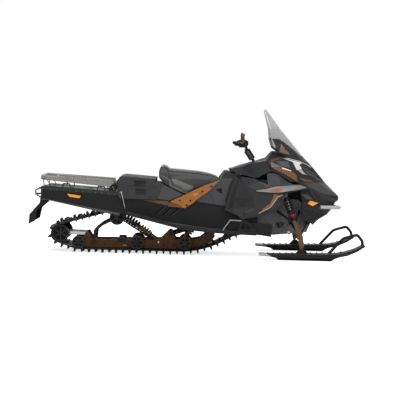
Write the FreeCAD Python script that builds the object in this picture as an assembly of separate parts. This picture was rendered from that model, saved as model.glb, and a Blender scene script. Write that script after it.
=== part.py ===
import FreeCAD, Part
import math
import os

# A long-track utility snowmobile, nose towards +X, the rider's left towards +Y, standing on skis and track.
# Millimetres. The origin is on the ground under the middle of the machine.

V = FreeCAD.Vector
OVERRUN = 20.0
RUNNING_GAP = 0.5
SEAT_GAP = 0.3
FREE_GAP = 8.0

# Ground run, track and wheels
TRACK_WIDTH = 500.0
LUG_HEIGHT = 32.0
LUG_BASE = 24.0
LUG_TIP = 10.0
LUG_PITCH_AIM = 65.5
BELT = 8.0
DRIVE_LUG_HEIGHT = 22.0
DRIVE_LUG_WIDTH = 26.0
DRIVE_LUG_Y = 92.0
REAR_WHEEL_X = -1300.0
REAR_WHEEL_Z = 181.0
REAR_WHEEL_R = 83.0
REAR_LOW_X = -1128.0
REAR_LOW_R = 60.0
MID_WHEEL_X = -560.0
FRONT_WHEEL_X = -94.0
LOW_WHEEL_R = 66.0
CARRIER_X = -757.0
CARRIER_Z = 344.0
CARRIER_R = 73.0
WHEEL_WIDTH = 24.0
WHEEL_Y = 188.0
WHEEL_HUB_R = 24.0
AXLE_R = 10.0
RAIL_BOW_X = -150.0
DRIVE_X = 438.0
RAIL_BOW_SHARE = 1.4965986
RAIL_BOW_R = (DRIVE_X - RAIL_BOW_X) * RAIL_BOW_SHARE
DRIVE_Z = 335.0
DRIVE_PITCH_R = 83.0

# Rails and rear suspension
RAIL_Y = 130.0
RAIL_THICK = 14.0
RAIL_REAR = -1097.0
RAIL_LENGTH = 1295.0
RAIL_RISE = 173.0
SLIDER_DEEP = 8.0
SLIDER_WIDE = 30.0
ARM_TUBE_R = 14.0
SHOCK_R = 24.0
SPRING_R = 37.0
SPRING_WIRE_R = 5.0
LINK_FOOT = (-430.0, 144.0)
LINK_R = 8.0
LINK_Y = 100.0
STOP_PLACE = (-751.0, -676.0, 104.0, 148.0)
STOP_WIDE = 14.0

# Tunnel, boards and rear end
TRACK_ROOM = 18.0
TUNNEL_WIDTH = TRACK_WIDTH + 2 * TRACK_ROOM
TUNNEL_SHEET = 4.0
TUNNEL_FRONT = 600.0
TUNNEL_LENGTH = 2087.0
TUNNEL_REAR = TUNNEL_FRONT - TUNNEL_LENGTH
TUNNEL_LOW = 240.0
TUNNEL_RISE = 400.0
BOARD_REAR = -669.0
BOARD_LENGTH = 1259.0
BOARD_RISE = 189.0
BOARD_WIDE = 142.0
BOARD_EDGE_Y = TUNNEL_WIDTH / 2 + BOARD_WIDE
BOARD_SHEET = 5.0
BOARD_LIP = 28.0
TOE_IN = 12.0
STRAP_R = 7.0
STRAP_POINTS = ((268.0, 0.0), (278.0, 280.0), (335.0, 360.0), (440.0, 356.0))
TOE_OUTLINE = ((405.0, 240.0), (438.0, 364.0), (496.0, 358.0), (586.0, 266.0), (586.0, 240.0))
TOE_WINDOWS = (((436.0, 276.0), (455.0, 336.0), (478.0, 334.0), (470.0, 300.0), (484.0, 276.0)),
               ((496.0, 276.0), (486.0, 300.0), (498.0, 322.0), (546.0, 276.0)))
FLAP_REACH = 124.0
FLAP_REAR = TUNNEL_REAR - FLAP_REACH
FLAP_LENGTH = 181.0
FLAP_RISE = 281.0
FLAP_IN = 53.0
FLAP_WIDTH = TUNNEL_WIDTH - 2 * FLAP_IN
FLAP_SHEET = 6.0
RACK_IN = 28.0
RACK_Y = TUNNEL_WIDTH / 2 - RACK_IN
RACK_WIDE = 20.0
RACK_TALL = 44.0
RACK_BEND = 51.0
RACK_BAR_R = 12.0
RACK_REACH = 3.0
RACK_REAR = TUNNEL_REAR - RACK_REACH
RACK_REAR_Z = 720.0
RACK_FRONT_Z = 658.0

# Steering and front suspension
SKI_Y = 475.0
CASTER = 23.0
BALL_LOW_X = 1003.0
BALL_LOW_Z = 223.0
BALL_SPREAD = 130.0
SPINDLE_THICK = 34.0
SKI_WIDTH = 165.0
SKI_BOLT_X = 1022.0
SKI_BOLT_Z = 92.0
SKI_BOLT_R = 8.0
SKI_REAR = 615.0
SKI_LENGTH = 990.0
SKI_RISE = 165.0
SKI_LOOP_R = 11.0
POST_X = 560.0
POST_Z = 915.0
POST_RAKE = 34.0
BAR_Y = 385.0
POST_R = 14.0
POST_DEEP = 70.0

# Cargo box and seat
SEAT_REAR = -376.0
BOX_NOSE = 57.0
BOX_LENGTH = 444.0
BOX_REAR = SEAT_REAR + BOX_NOSE - BOX_LENGTH
RACK_GAP = 7.0
RACK_FRONT = BOX_REAR - RACK_GAP
BOX_LOW = 530.0
BOX_RISE = 170.0
BOX_OVER = 15.0
BOX_WIDTH = TUNNEL_WIDTH + 2 * BOX_OVER
BOX_WALL = 7.0
BOX_CORNER = 28.0
BOX_POCKET = 2.0
BOX_POCKETS = ((100.0, 340.0, 12.0, 108.0, 1), (183.0, 307.0, 43.0, 89.0, 2))
LATCH_PLACE = (172.0, 282.0, 26.0, 54.0)
LID_SHORT = 69.0
LID_LENGTH = BOX_LENGTH - LID_SHORT
LID_LOW = 657.0
LID_RISE = 94.0
LID_WALL = 6.0
LID_PIN_R = 3.0
LID_PIN_OUT = 8.0
LID_PIN_UP = 7.0
LID_KNUCKLE_R = 6.0
LID_KNUCKLE_LENGTH = 38.0
LID_STRAP = 26.0
LID_HINGE_SHARES = (0.115, 0.8)
SEAT_LOW = 575.0
SEAT_LENGTH = 616.0
SEAT_RISE = 293.0
SEAT_WIDTH = 350.0

# Bodywork
BODY_REAR = 235.0
BODY_LENGTH = 1175.0
BODY_LOW = 165.0
BODY_RISE = 810.0
BODY_OUT = 124.0
BODY_HALF = TUNNEL_WIDTH / 2 + BODY_OUT
SKIN_WALL = 8.0
PANEL_IN_SHARE = 0.7627551
PANEL_IN = BODY_HALF * PANEL_IN_SHARE
FRAME_WIDTH = 260.0

FLAP_LOW = 260.0
BRACKET_HALF = 5.0
WHEEL_RIM = 16.0
WHEEL_WEB = 8.0
WHEEL_SPOKES = 8
ARM_Y = 156.0
REAR_ARM_X = -979.0
REAR_ARM_Z = 104.0
REAR_KNEE = 112.0
FRONT_ARM_X = -226.0
FRONT_ARM_Z = 190.0
FRONT_TOP_X = 100.0
FRONT_TOP_Z = 300.0
SHOCK_TOP_X = -745.0
SHOCK_TOP_Z = 380.0
SHOCK_LOW_X = -351.0
SHOCK_LOW_Z = 110.0
SHOCK_PIN_R = 8.0
SPRING_TOP_SHARE = 0.86
REAR_SPRING_SHARE = 0.62
FRONT_SPRING_SHARE = 0.5
MID_SHOCK_LOW_X = -148.0
MID_SHOCK_LOW_Z = 112.0
KING_Y = 430.0
KING_PIN_R = 9.0
EYE_R = 19.0
EYE_HALF = 12.0
TIE_ARM = 85.0
TIE_S = 80.0
TIE_PIN_R = 6.0
TIE_R = 8.0
TIE_IN_X = 816.0
TIE_IN_Y = 105.0
TIE_IN_Z = 308.0
TIE_SWING = 44.0
ARM_SLEEVE_R = 14.0
ARM_SLEEVE_HALF = 22.0
WISH_TUBE_R = 11.0
LOW_IN_X = (930.0, 1090.0)
LOW_IN_Z = 330.0
HIGH_IN_X = (780.0, 1010.0)
HIGH_IN_Z = 450.0
ARM_IN_Y = 147.0
FRONT_SHOCK_LOW = (966.0, 300.0, 312.0)
FRONT_SHOCK_TOP = (868.0, 205.0, 598.0)
RACK_BAR_SHARES = (0.12, 0.36, 0.6, 0.84)
RACK_LEG_X = ((28.0, 15.0), (90.0, 46.0))
RACK_WIRE_R = 4.0
GUARD_R = 6.0
GUARD_Y = TUNNEL_WIDTH / 2 - GUARD_R
GUARD_BAR = (-18.0, 378.0)
GUARD_POINTS = ((40.0, 391.0), (-52.0, 360.0), (-52.0, 320.0), (-13.0, 293.0), (14.0, 293.0))

RISER_HEIGHT = 128.0
RISER_CLEAR = 26.0
RISER_WIDE = 62.0
RISER_Y = 30.0
RISER_SHEET = 4.0
BAR_R = 11.0
BAR_LIFT = 62.0
BAR_SWEEP = 115.0
GRIP_R = 16.0
CONTROL_OUTLINE = ((-62.0, -6.0), (-48.0, 26.0), (-20.0, 30.0), (40.0, 32.0), (42.0, -8.0), (22.0, -36.0), (-44.0, -36.0))
CONTROL_HALF = 19.0
LEVER_AHEAD = 34.0
LEVER_R = 5.0
FRAME_LENGTH = 526.0
FRAME_LOW = 205.0
FRAME_RISE = 437.0
LOOP_REAR = 1277.0
LOOP_LOW = 75.0
LOOP_LENGTH = 321.0
LOOP_RISE = 183.0
SCREEN_REAR = BODY_REAR + BODY_LENGTH * 0.3574468
SCREEN_LOW = BODY_LOW + BODY_RISE * 0.8950617
SCREEN_LENGTH = BODY_LENGTH * 0.3838298
SCREEN_RISE = 531.0
SCREEN_HALF = BODY_HALF * 0.6887755
SCREEN_SHEET = 5.0
TRIM_GROW = 3.0
ENGINE_LENGTH = 315.0
ENGINE_WIDTH = 400.0
ENGINE_HEIGHT = 212.0
MARKER_THICK = 6.0
BUMPER_R = 17.0
ANCHOR_R = 5.0
LOWER_REAR = 251.0
LOWER_LOW = 169.0
LOWER_LENGTH = 491.0
LOWER_RISE = 237.0
KNEE_OUT = 67.0
KNEE_Y = TUNNEL_WIDTH / 2 + KNEE_OUT
COVER_OUT = 6.0
COVER_Y = TUNNEL_WIDTH / 2 + COVER_OUT
BRACE_THICK = 14.0
TUNNEL_OUT = TUNNEL_WIDTH / 2 + SEAT_GAP
COVER_PLACE = (-371.0, 528.0, 243.0, 146.0)
BRACE_PLACE = (-268.0, 458.0, 500.0, 278.0)
SHOULDER_IN = 180.0
SHOULDER_SLOPE = 0.8
TANK_PLACE = (9.0, 487.0, 365.0, 331.0)
CONSOLE_PLACE = (241.0, 487.0, 239.0, 331.0)
LAMP_DEEP = 26.0
LAMP_WIDE = 150.0
LAMP_TALL = 44.0
HITCH_LENGTH = 46.0
HITCH_WIDE = 60.0
HITCH_THICK = 12.0
HITCH_BORE_R = 11.0
BUMPER_REAR = BODY_REAR + BODY_LENGTH * 0.8212766
BUMPER_FRONT = BODY_REAR + BODY_LENGTH * 0.9914894
BUMPER_HALF = BODY_HALF * 0.6377551
BUMPER_Z = BODY_LOW + BODY_RISE * 0.3987654
ANCHOR_X = (-1250.0, -915.0)
ANCHOR_IN = 25.0
ANCHOR_Y = RACK_Y - ANCHOR_IN
ANCHOR_HALF = 38.0
ANCHOR_TALL = 34.0
REAR_MARKER = ((248.0, 327.0), (384.0, 311.0), (370.0, 287.0), (275.0, 299.0))
FRONT_MARKER = ((841.0, 366.0), (869.0, 394.0), (948.0, 372.0), (892.0, 341.0))
ENGINE_REAR = 490.0

TUNNEL_SHARES = [(0.017, 1.0), (0.0, 0.9), (0.0, 0.667), (0.033, 0.655), (0.198, 0.477), (0.316, 0.355),
                 (0.398, 0.38), (0.646, 0.105), (0.785, 0.022), (1.0, 0.0), (1.0, 0.71)]
BOARD_SHARES = [(0.0, 0.93), (0.423, 0.265), (0.658, 0.116), (1.0, 0.032)]
FLAP_SHARES = [(0.619, 1.0), (0.9, 0.89), (0.9, 0.76), (0.448, 0.491), (0.343, 0.125), (0.0, 0.0), (0.039, 0.352),
               (0.591, 0.758)]
RAIL_SHARES = [(0.009, 0.0), (0.0, 0.41), (0.027, 0.809), (0.042, 0.855), (0.075, 0.462), (0.106, 0.428),
               (0.59, 0.497), (0.656, 1.0), (0.674, 1.0), (0.705, 0.543), (0.82, 0.509), (0.885, 0.607),
               (0.937, 0.931), (0.988, 1.0), (1.0, 0.763), (0.978, 0.474), (0.889, 0.173), (0.801, 0.023),
               (0.769, 0.0)]

FRAME_SHARES = [(0.001, 0.092), (0.001, 0.739), (0.409, 0.739), (0.437, 1.0), (0.58, 1.0), (0.875, 0.675),
                (0.998, 0.309), (0.922, 0.08), (0.304, 0.0)]
SKI_SHARES = [(0.0, 0.376), (0.114, 0.345), (0.49, 0.4), (0.741, 0.442), (0.839, 0.558), (0.924, 0.758), (1.0, 1.0),
              (1.007, 0.909), (0.934, 0.624), (0.843, 0.376), (0.722, 0.206), (0.688, 0.17), (0.146, 0.17),
              (0.101, 0.224), (0.0, 0.267)]
KEEL_SHARES = [(0.146, 0.182), (0.187, 0.0), (0.688, 0.0), (0.722, 0.121), (0.793, 0.291), (0.793, 0.364),
               (0.688, 0.206)]
LOOP_SHARES = [(0.0, 0.022), (0.305, 0.574), (0.408, 0.787), (0.8, 1.0), (0.963, 0.765), (1.0, 0.41)]
BOX_SHARES = [(0.0, 1.0), (0.034, 0.176), (0.083, 0.024), (0.867, 0.0), (1.0, 0.894), (0.845, 0.941)]
LID_SHARES = [(0.0, 0.457), (0.08, 0.915), (0.176, 1.0), (1.0, 0.777), (1.0, 0.0), (0.008, 0.117)]
SEAT_SHARES = [(0.002, 0.621), (0.0, 0.788), (0.013, 0.939), (0.042, 1.0), (0.083, 1.0), (0.185, 0.86),
               (0.43, 0.823), (0.653, 0.788), (0.838, 0.717), (0.992, 0.59), (1.0, 0.222), (0.513, 0.0),
               (0.422, 0.017), (0.208, 0.229), (0.089, 0.372)]
COVER_SHARES = [(0.0, 0.952), (0.226, 1.0), (1.0, 0.384), (0.494, 0.0), (0.012, 0.068)]
BRACE_SHARES = [(0.0, 0.04), (0.074, 0.237), (0.33, 0.464), (0.694, 0.791), (1.0, 1.0), (0.784, 0.597),
                (0.554, 0.299), (0.494, 0.183), (0.334, 0.0)]
TANK_SHARES = [(0.041, 0.1), (0.0, 0.163), (0.312, 0.402), (0.588, 0.75), (0.6, 0.8), (0.729, 0.995), (0.81, 1.0),
               (0.893, 0.95), (0.995, 0.855), (0.77, 0.0), (0.455, 0.042)]
CONSOLE_SHARES = [(0.0, 0.8), (0.142, 1.0), (0.268, 1.0), (0.339, 0.96), (0.766, 0.9), (1.0, 0.79)]
LOWER_SHARES = [(0.0, 0.0), (0.385, 0.198), (0.709, 0.214), (0.984, 0.143), (1.0, 0.658), (0.6, 0.68), (0.25, 0.7),
                (0.16, 0.55)]
SCREEN_SHARES = [(0.0, 1.0, 0.676, 0.7), (0.105, 0.898, 0.499, 0.78), (0.298, 0.707, 0.2, 0.98),
                 (0.482, 0.525, 0.133, 1.0), (0.663, 0.341, 0.111, 0.93), (0.959, 0.078, 0.0, 0.46),
                 (1.0, 0.038, 0.011, 0.4)]
SCREEN_TRIM_SHARES = [(0.0, 0.47), (0.288, 0.48), (0.404, 0.422), (0.623, 0.283), (0.776, 0.179), (0.907, 0.136),
                      (1.2, 0.13), (1.2, -0.2), (0.0, -0.2)]

# Corners of the faceted bodywork on the right-hand side: shares of its length, half width and height
BODY_POINT_SHARES = {
    "rear_mid": (0.07, 0, 0.831), "ridge_1": (0.165, 0, 0.883), "ridge_2": (0.292, 0, 0.936),
    "ridge_3": (0.419, 0, 1.001), "dash_mid": (0.43, 0, 1.058), "cowl_mid": (0.566, 0, 1.031),
    "ridge_4": (0.702, 0, 0.969), "ridge_5": (0.766, 0, 0.873), "ridge_6": (0.821, 0, 0.781),
    "ridge_7": (0.88, 0, 0.68), "tip_mid": (0.991, 0, 0.527), "lip_mid": (0.991, 0, 0.48),
    "mouth_mid": (0.961, 0, 0.457), "chin_mid_1": (0.945, 0, 0.381), "chin_mid_2": (0.906, 0, 0.315),
    "chin_mid_3": (0.826, 0, 0.241), "chin_mid_4": (0.783, 0, 0.167),
    "rear_top": (0.068, -0.383, 0.829), "rear_low": (0.074, -0.421, 0.808), "tank_low": (0.161, -0.651, 0.785),
    "crease_1": (0.168, -0.421, 0.863), "crease_2": (0.254, -0.51, 0.911), "crease_3": (0.365, -0.612, 0.942),
    "crease_4": (0.407, -0.727, 0.934), "lobe": (0.275, -0.811, 0.743), "lobe_front": (0.306, -0.829, 0.752),
    "gap_rise": (0.383, -0.821, 0.816), "gap_top": (0.411, -0.821, 0.827), "gap_mid": (0.47, -0.842, 0.805),
    "gap_front": (0.566, -0.811, 0.71), "brow": (0.621, -0.745, 0.703), "brow_front": (0.797, -0.383, 0.704),
    "dash_tip": (0.424, -0.383, 1.048), "dash_low": (0.559, -0.548, 1.012),
    "lens_top": (0.498, -0.668, 0.984), "lens_front": (0.587, -0.668, 0.94), "lens_low": (0.622, -0.694, 0.843),
    "lens_mid": (0.507, -0.778, 0.875), "swoosh_rear": (0.41, -0.816, 0.876), "swoosh_low": (0.636, -0.668, 0.798),
    "blade_top": (0.67, -0.485, 0.928), "blade_tip": (0.762, -0.281, 0.863),
    "lamp_rear": (0.643, -0.566, 0.905), "lamp_top": (0.703, -0.459, 0.887), "lamp_nose": (0.792, -0.242, 0.82),
    "lamp_tip": (0.81, -0.204, 0.781), "lamp_low": (0.792, -0.281, 0.759), "lamp_belly": (0.733, -0.459, 0.777),
    "lamp_back": (0.665, -0.612, 0.862),
    "nose_rear": (0.712, -0.74, 0.665), "nose_side": (0.745, -0.727, 0.626), "mouth": (0.841, -0.485, 0.559),
    "mouth_low": (0.854, -0.51, 0.491), "mouth_front": (0.961, -0.153, 0.457),
    "cheek_1": (0.654, -0.755, 0.578), "cheek_2": (0.671, -0.755, 0.474), "cheek_3": (0.765, -0.74, 0.514),
    "cheek_4": (0.816, -0.638, 0.435), "cheek_5": (0.667, -0.755, 0.384), "cheek_6": (0.685, -0.651, 0.272),
    "cheek_7": (0.715, -0.548, 0.228), "chin_1": (0.931, -0.153, 0.381), "chin_2": (0.892, -0.23, 0.309),
    "chin_3": (0.815, -0.306, 0.244), "chin_4": (0.776, -0.357, 0.189),
    "p_rear": (0.16, -0.847, 0.747), "p_2": (0.275, -0.862, 0.735), "p_3": (0.306, -0.88, 0.708),
    "p_4": (0.384, -0.918, 0.668), "p_5": (0.483, -0.949, 0.661), "p_6": (0.595, -0.939, 0.674),
    "p_7": (0.658, -0.88, 0.684), "p_tip": (0.731, -0.791, 0.629),
    "b_rear": (0.293, -0.893, 0.588), "b_top_1": (0.378, -0.954, 0.64), "b_top_2": (0.433, -0.985, 0.651),
    "b_top_3": (0.626, -0.964, 0.667), "b_tip": (0.709, -0.829, 0.636), "b_low_1": (0.699, -0.821, 0.62),
    "b_low_2": (0.596, -0.934, 0.611), "b_low_3": (0.497, -0.985, 0.582), "b_low_4": (0.422, -0.974, 0.577),
    "u_rear": (0.3, -0.878, 0.57), "u_front": (0.514, -0.918, 0.56), "u_3": (0.475, -0.908, 0.486),
    "u_4": (0.427, -0.883, 0.392), "u_5": (0.311, -0.862, 0.318),
    "w_front": (0.536, -0.898, 0.566), "w_1": (0.526, -0.883, 0.523), "w_2": (0.478, -0.857, 0.384),
    "w_3": (0.442, -0.842, 0.331), "w_4": (0.181, -0.832, 0.239),
    "k_top": (0.186, -0.821, 0.677), "k_front": (0.224, -0.837, 0.642), "k_mid": (0.276, -0.857, 0.5),
    "k_low": (0.291, -0.862, 0.382), "k_bottom": (0.154, -0.821, 0.284),
    "knee_1": (0.115, -0.753, 0.753), "knee_2": (0.122, -0.765, 0.794), "knee_3": (0.155, -0.804, 0.786),
    "knee_4": (0.14, -0.74, 0.747), "knee_5": (0.119, -0.821, 0.488), "knee_6": (0.174, -0.765, 0.389),
    "knee_7": (0.041, -0.855, 0.358),
    "vent_1": (0.375, -0.781, 0.809), "vent_2": (0.471, -0.781, 0.811), "vent_3": (0.549, -0.776, 0.707)}

# Facets of each sheet of bodywork, by the corners round them
SKIN_FACETS = {
    "hood": [
        "rear_mid ridge_1 crease_1 rear_top", "ridge_1 ridge_2 crease_2 crease_1", "ridge_2 ridge_3 crease_3 crease_2",
        "ridge_3 dash_mid dash_tip crease_3", "crease_3 dash_tip dash_low lens_top crease_4",
        "dash_mid cowl_mid dash_low dash_tip", "dash_low cowl_mid ridge_4 blade_top lens_top",
        "ridge_4 ridge_5 blade_tip blade_top", "rear_top crease_1 tank_low rear_low",
        "crease_1 crease_2 lobe tank_low", "crease_2 crease_3 lobe", "crease_3 gap_rise lobe_front",
        "crease_3 lobe_front lobe", "crease_3 crease_4 swoosh_rear", "crease_3 swoosh_rear gap_top gap_rise",
        "swoosh_rear lens_mid gap_mid gap_top", "lens_mid lens_low swoosh_low gap_front gap_mid",
        "swoosh_low brow gap_front", "lens_low lamp_back lamp_belly swoosh_low",
        "swoosh_low lamp_belly brow_front brow", "lamp_belly lamp_low brow_front",
        "blade_top blade_tip lamp_nose lamp_top lamp_rear", "blade_tip ridge_5 ridge_6 lamp_nose",
        "lamp_nose ridge_6 lamp_tip", "lamp_tip ridge_6 ridge_7 lamp_low", "lamp_low ridge_7 brow_front"],
    "headlamps": [
        "crease_4 lens_top lens_front lens_low lens_mid swoosh_rear",
        "lamp_rear lamp_top lamp_nose lamp_tip lamp_low lamp_belly lamp_back"],
    "lamp_trim": ["lens_top blade_top lamp_rear lens_front", "lens_front lamp_rear lamp_back lens_low"],
    "nose": [
        "brow brow_front nose_side nose_rear", "brow_front mouth nose_side", "brow_front ridge_7 tip_mid mouth",
        "mouth tip_mid lip_mid mouth_front mouth_low", "lip_mid mouth_mid mouth_front",
        "mouth_mid chin_mid_1 chin_1 mouth_front", "mouth_low mouth_front chin_1 cheek_4",
        "nose_side mouth mouth_low cheek_4 cheek_3", "nose_rear nose_side cheek_3 cheek_2 cheek_1",
        "cheek_2 cheek_3 cheek_4", "cheek_2 cheek_4 cheek_5", "cheek_4 chin_1 chin_2",
        "chin_1 chin_mid_1 chin_mid_2 chin_2", "cheek_5 cheek_4 chin_2 chin_3",
        "chin_2 chin_mid_2 chin_mid_3 chin_3", "cheek_5 chin_3 cheek_7 cheek_6", "cheek_7 chin_3 chin_4",
        "chin_3 chin_mid_3 chin_mid_4 chin_4"]}
SIDE_FACETS = [
    "k_top p_rear p_2 k_front", "k_front p_2 p_3 b_rear", "k_front b_rear u_rear k_mid", "k_mid u_rear u_5 k_low",
    "p_3 p_4 b_top_1 b_rear", "p_4 p_5 b_top_2 b_top_1", "p_5 p_6 b_top_3 b_top_2", "p_6 p_7 b_tip b_top_3",
    "p_7 p_tip b_tip", "b_rear b_top_1 b_low_4", "b_top_1 b_top_2 b_low_3 b_low_4",
    "b_top_2 b_top_3 b_low_2 b_low_3", "b_top_3 b_tip b_low_1 b_low_2", "b_rear b_low_4 u_rear",
    "b_low_4 b_low_3 u_front u_rear", "b_low_3 b_low_2 w_front u_front", "b_low_2 b_low_1 w_front",
    "u_rear u_front u_3", "u_rear u_3 u_4", "u_rear u_4 u_5", "u_front w_front w_1 u_3", "u_3 w_1 w_2 u_4",
    "u_4 w_2 w_3 u_5", "u_5 w_3 w_4 k_bottom k_low"]
KNEE_FACETS = [
    "knee_1 knee_2 knee_3 knee_4", "knee_1 knee_4 knee_5 knee_7", "knee_4 knee_3 p_rear k_top knee_5",
    "knee_5 k_top k_front k_mid knee_6", "knee_7 knee_5 knee_6 k_bottom", "knee_6 k_mid k_low k_bottom"]
VENT_FACETS = ["vent_1 vent_2 p_5 p_4", "vent_2 vent_3 p_5", "vent_3 p_6 p_5"]


def spread(shares, x, z, length, height):
    """Points of a side outline from its shares of a length and a height."""
    return [(x + a * length, z + b * height) for a, b in shares]


def wire(points, y):
    """Closed side outline at one lateral place."""
    corners = [V(x, y, z) for x, z in points]
    return Part.makePolygon(corners + corners[:1])


def plate(points, y_from, y_to):
    """Side outline given a lateral thickness."""
    return Part.Face(wire(points, y_from)).extrude(V(0, y_to - y_from, 0))


def skin(sections):
    """Flat-sided body through side outlines at several lateral places."""
    return Part.makeLoft([wire(points, y) for y, points in sections], True, True)


def mirrored(shape):
    return shape.mirror(V(0, 0, 0), V(0, 1, 0))


def pair(shape):
    """The right-hand piece and its left-hand twin."""
    return Part.makeCompound([shape, mirrored(shape)])


def rod(start, end, radius):
    line = end.sub(start)
    return Part.makeCylinder(radius, line.Length, start, line)


def bar_y(x, z, radius, half):
    """Round bar across the machine, as far to each side."""
    return Part.makeCylinder(radius, 2 * half, V(x, -half, z), V(0, 1, 0))


def path(points, bend):
    """Straight runs joined by tangent arcs."""
    edges = []
    start = points[0]
    for before, corner, after in zip(points, points[1:], points[2:]):
        back = before.sub(corner).normalize()
        ahead = after.sub(corner).normalize()
        half_turn = (math.pi - back.getAngle(ahead)) / 2
        reach = bend * math.tan(half_turn)
        middle = V(back.x + ahead.x, back.y + ahead.y, back.z + ahead.z).normalize()
        away = bend / math.cos(half_turn) - bend
        arc_from = corner + back * reach
        arc_to = corner + ahead * reach
        edges.append(Part.LineSegment(start, arc_from).toShape())
        edges.append(Part.Arc(arc_from, corner + middle * away, arc_to).toShape())
        start = arc_to
    edges.append(Part.LineSegment(start, points[-1]).toShape())
    return Part.Wire(edges)


def tube(points, radius, bend):
    """Round tube along straight runs and bends."""
    ring = Part.Wire(Part.makeCircle(radius, points[0], points[1].sub(points[0])))
    return path(points, bend).makePipeShell([ring], True, False)


def flat_tube(points, wide, tall, bend):
    """Flat-sided tube with chamfered corners; its first run lies along the machine."""
    ahead = points[1].sub(points[0]).normalize()
    up = V(0, 1, 0).cross(ahead) * (tall / 2)
    aside = V(0, wide / 2, 0)
    corners = []
    for a, b in ((0.6, 1), (1, 0.8), (1, -0.8), (0.6, -1), (-0.6, -1), (-1, -0.8), (-1, 0.8), (-0.6, 1)):
        corners.append(points[0] + aside * a + up * b)
    return path(points, bend).makePipeShell([Part.makePolygon(corners + corners[:1])], True, False)


def box(x, y, z):
    """Block between pairs of places along the three axes."""
    return Part.makeBox(x[1] - x[0], y[1] - y[0], z[1] - z[0], V(x[0], y[0], z[0]))


def save(name, shape):
    shape.exportStep("parts/" + name + ".step")


# Tunnel, boards, flap and rack

def tunnel_outline():
    return spread(TUNNEL_SHARES, TUNNEL_REAR, TUNNEL_LOW, TUNNEL_LENGTH, TUNNEL_RISE)


def deck_z(x):
    """Height of the tunnel's upper face at a place along it."""
    points = tunnel_outline()
    rear, front = points[0], points[-1]
    return rear[1] + (x - rear[0]) * (front[1] - rear[1]) / (front[0] - rear[0])


def under_deck(gap):
    """Room taken by the tunnel and what is below its upper face."""
    rear, front = TUNNEL_REAR - OVERRUN, TUNNEL_FRONT + OVERRUN
    half = TUNNEL_WIDTH / 2 + gap
    return plate([(rear, deck_z(rear) + gap), (front, deck_z(front) + gap), (front, TUNNEL_LOW), (rear, TUNNEL_LOW)],
                 -half, half)


def tunnel():
    half = TUNNEL_WIDTH / 2
    front = TUNNEL_FRONT
    hollow_from = TUNNEL_REAR - OVERRUN
    hollow_to = front + OVERRUN
    hollow = plate([(hollow_from, deck_z(hollow_from) - TUNNEL_SHEET),
                    (hollow_to, deck_z(hollow_to) - TUNNEL_SHEET),
                    (hollow_to, TUNNEL_LOW - OVERRUN), (hollow_from, TUNNEL_LOW - OVERRUN)],
                   TUNNEL_SHEET - half, half - TUNNEL_SHEET)
    shell = plate(tunnel_outline(), -half, half).cut(hollow)
    for side in (-1, 1):
        outer = side * (half - TUNNEL_SHEET / 2)
        inner = side * (half - 3 * TUNNEL_SHEET)
        tab = plate([(CARRIER_X - ARM_TUBE_R * 3, CARRIER_Z + CARRIER_R), (CARRIER_X - ARM_TUBE_R, CARRIER_Z - ARM_TUBE_R),
                     (CARRIER_X + ARM_TUBE_R, CARRIER_Z - ARM_TUBE_R),
                     (CARRIER_X + ARM_TUBE_R * 3, CARRIER_Z + CARRIER_R)], min(outer, inner), max(outer, inner))
        shell = shell.fuse(tab)
    return shell.fuse(tail_plate()).cut(bar_y(CARRIER_X, CARRIER_Z, AXLE_R + SEAT_GAP, half)).removeSplitter()


def running_board():
    top = spread(BOARD_SHARES, BOARD_REAR, TUNNEL_LOW, BOARD_LENGTH, BOARD_RISE)
    under = [(x, z - BOARD_SHEET) for x, z in reversed(top)]
    lip = [(x, z - BOARD_LIP) for x, z in reversed(top)]
    inner = -TUNNEL_WIDTH / 2 - SEAT_GAP
    deck = plate(top + under, -BOARD_EDGE_Y, inner)
    return deck.fuse(plate(top + lip, -BOARD_EDGE_Y, BOARD_SHEET - BOARD_EDGE_Y)).removeSplitter()


def board_z(x):
    """Height of a running board's upper face at a place along it."""
    top = spread(BOARD_SHARES, BOARD_REAR, TUNNEL_LOW, BOARD_LENGTH, BOARD_RISE)
    for (x1, z1), (x2, z2) in zip(top, top[1:]):
        if x <= x2:
            return z1 + (x - x1) * (z2 - z1) / (x2 - x1)
    return top[-1][1]


def above_board(gap):
    """Room of a running board and what is below it."""
    top = spread(BOARD_SHARES, BOARD_REAR, TUNNEL_LOW + gap, BOARD_LENGTH, BOARD_RISE)
    return plate(top + [(top[-1][0], TUNNEL_LOW - OVERRUN), (top[0][0], TUNNEL_LOW - OVERRUN)], -BOARD_EDGE_Y * 2, 0)


def toe_strap():
    """Flat strap over the rider's foot, from the board's edge to the toe bracket."""
    points = [V(x, -BOARD_EDGE_Y + TOE_IN, board_z(x) if z == 0 else z) for x, z in STRAP_POINTS]
    return pair(tube(points, STRAP_R, STRAP_R * 2).cut(above_board(SEAT_GAP)))


def toe_bracket():
    """Cast triangular bracket ahead of the foot, with two windows."""
    y_from, y_to = TOE_IN - BOARD_EDGE_Y - BRACKET_HALF, TOE_IN - BOARD_EDGE_Y + BRACKET_HALF
    body = plate(TOE_OUTLINE, y_from, y_to).cut(above_board(SEAT_GAP))
    for window in TOE_WINDOWS:
        body = body.cut(plate(window, y_from - OVERRUN, y_to + OVERRUN))
    strap = [V(x, -BOARD_EDGE_Y + TOE_IN, board_z(x) if z == 0 else z) for x, z in STRAP_POINTS]
    return pair(body.cut(tube(strap, STRAP_R + SEAT_GAP, STRAP_R * 2)))


def snow_flap():
    outline = spread(FLAP_SHARES, FLAP_REAR, FLAP_LOW, FLAP_LENGTH, FLAP_RISE)
    half = FLAP_WIDTH / 2
    hollow = [(x + FLAP_SHEET * 2, z - FLAP_SHEET) for x, z in outline]
    return plate(outline, -half, half).cut(plate(hollow, FLAP_SHEET - half, half - FLAP_SHEET))


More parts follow.
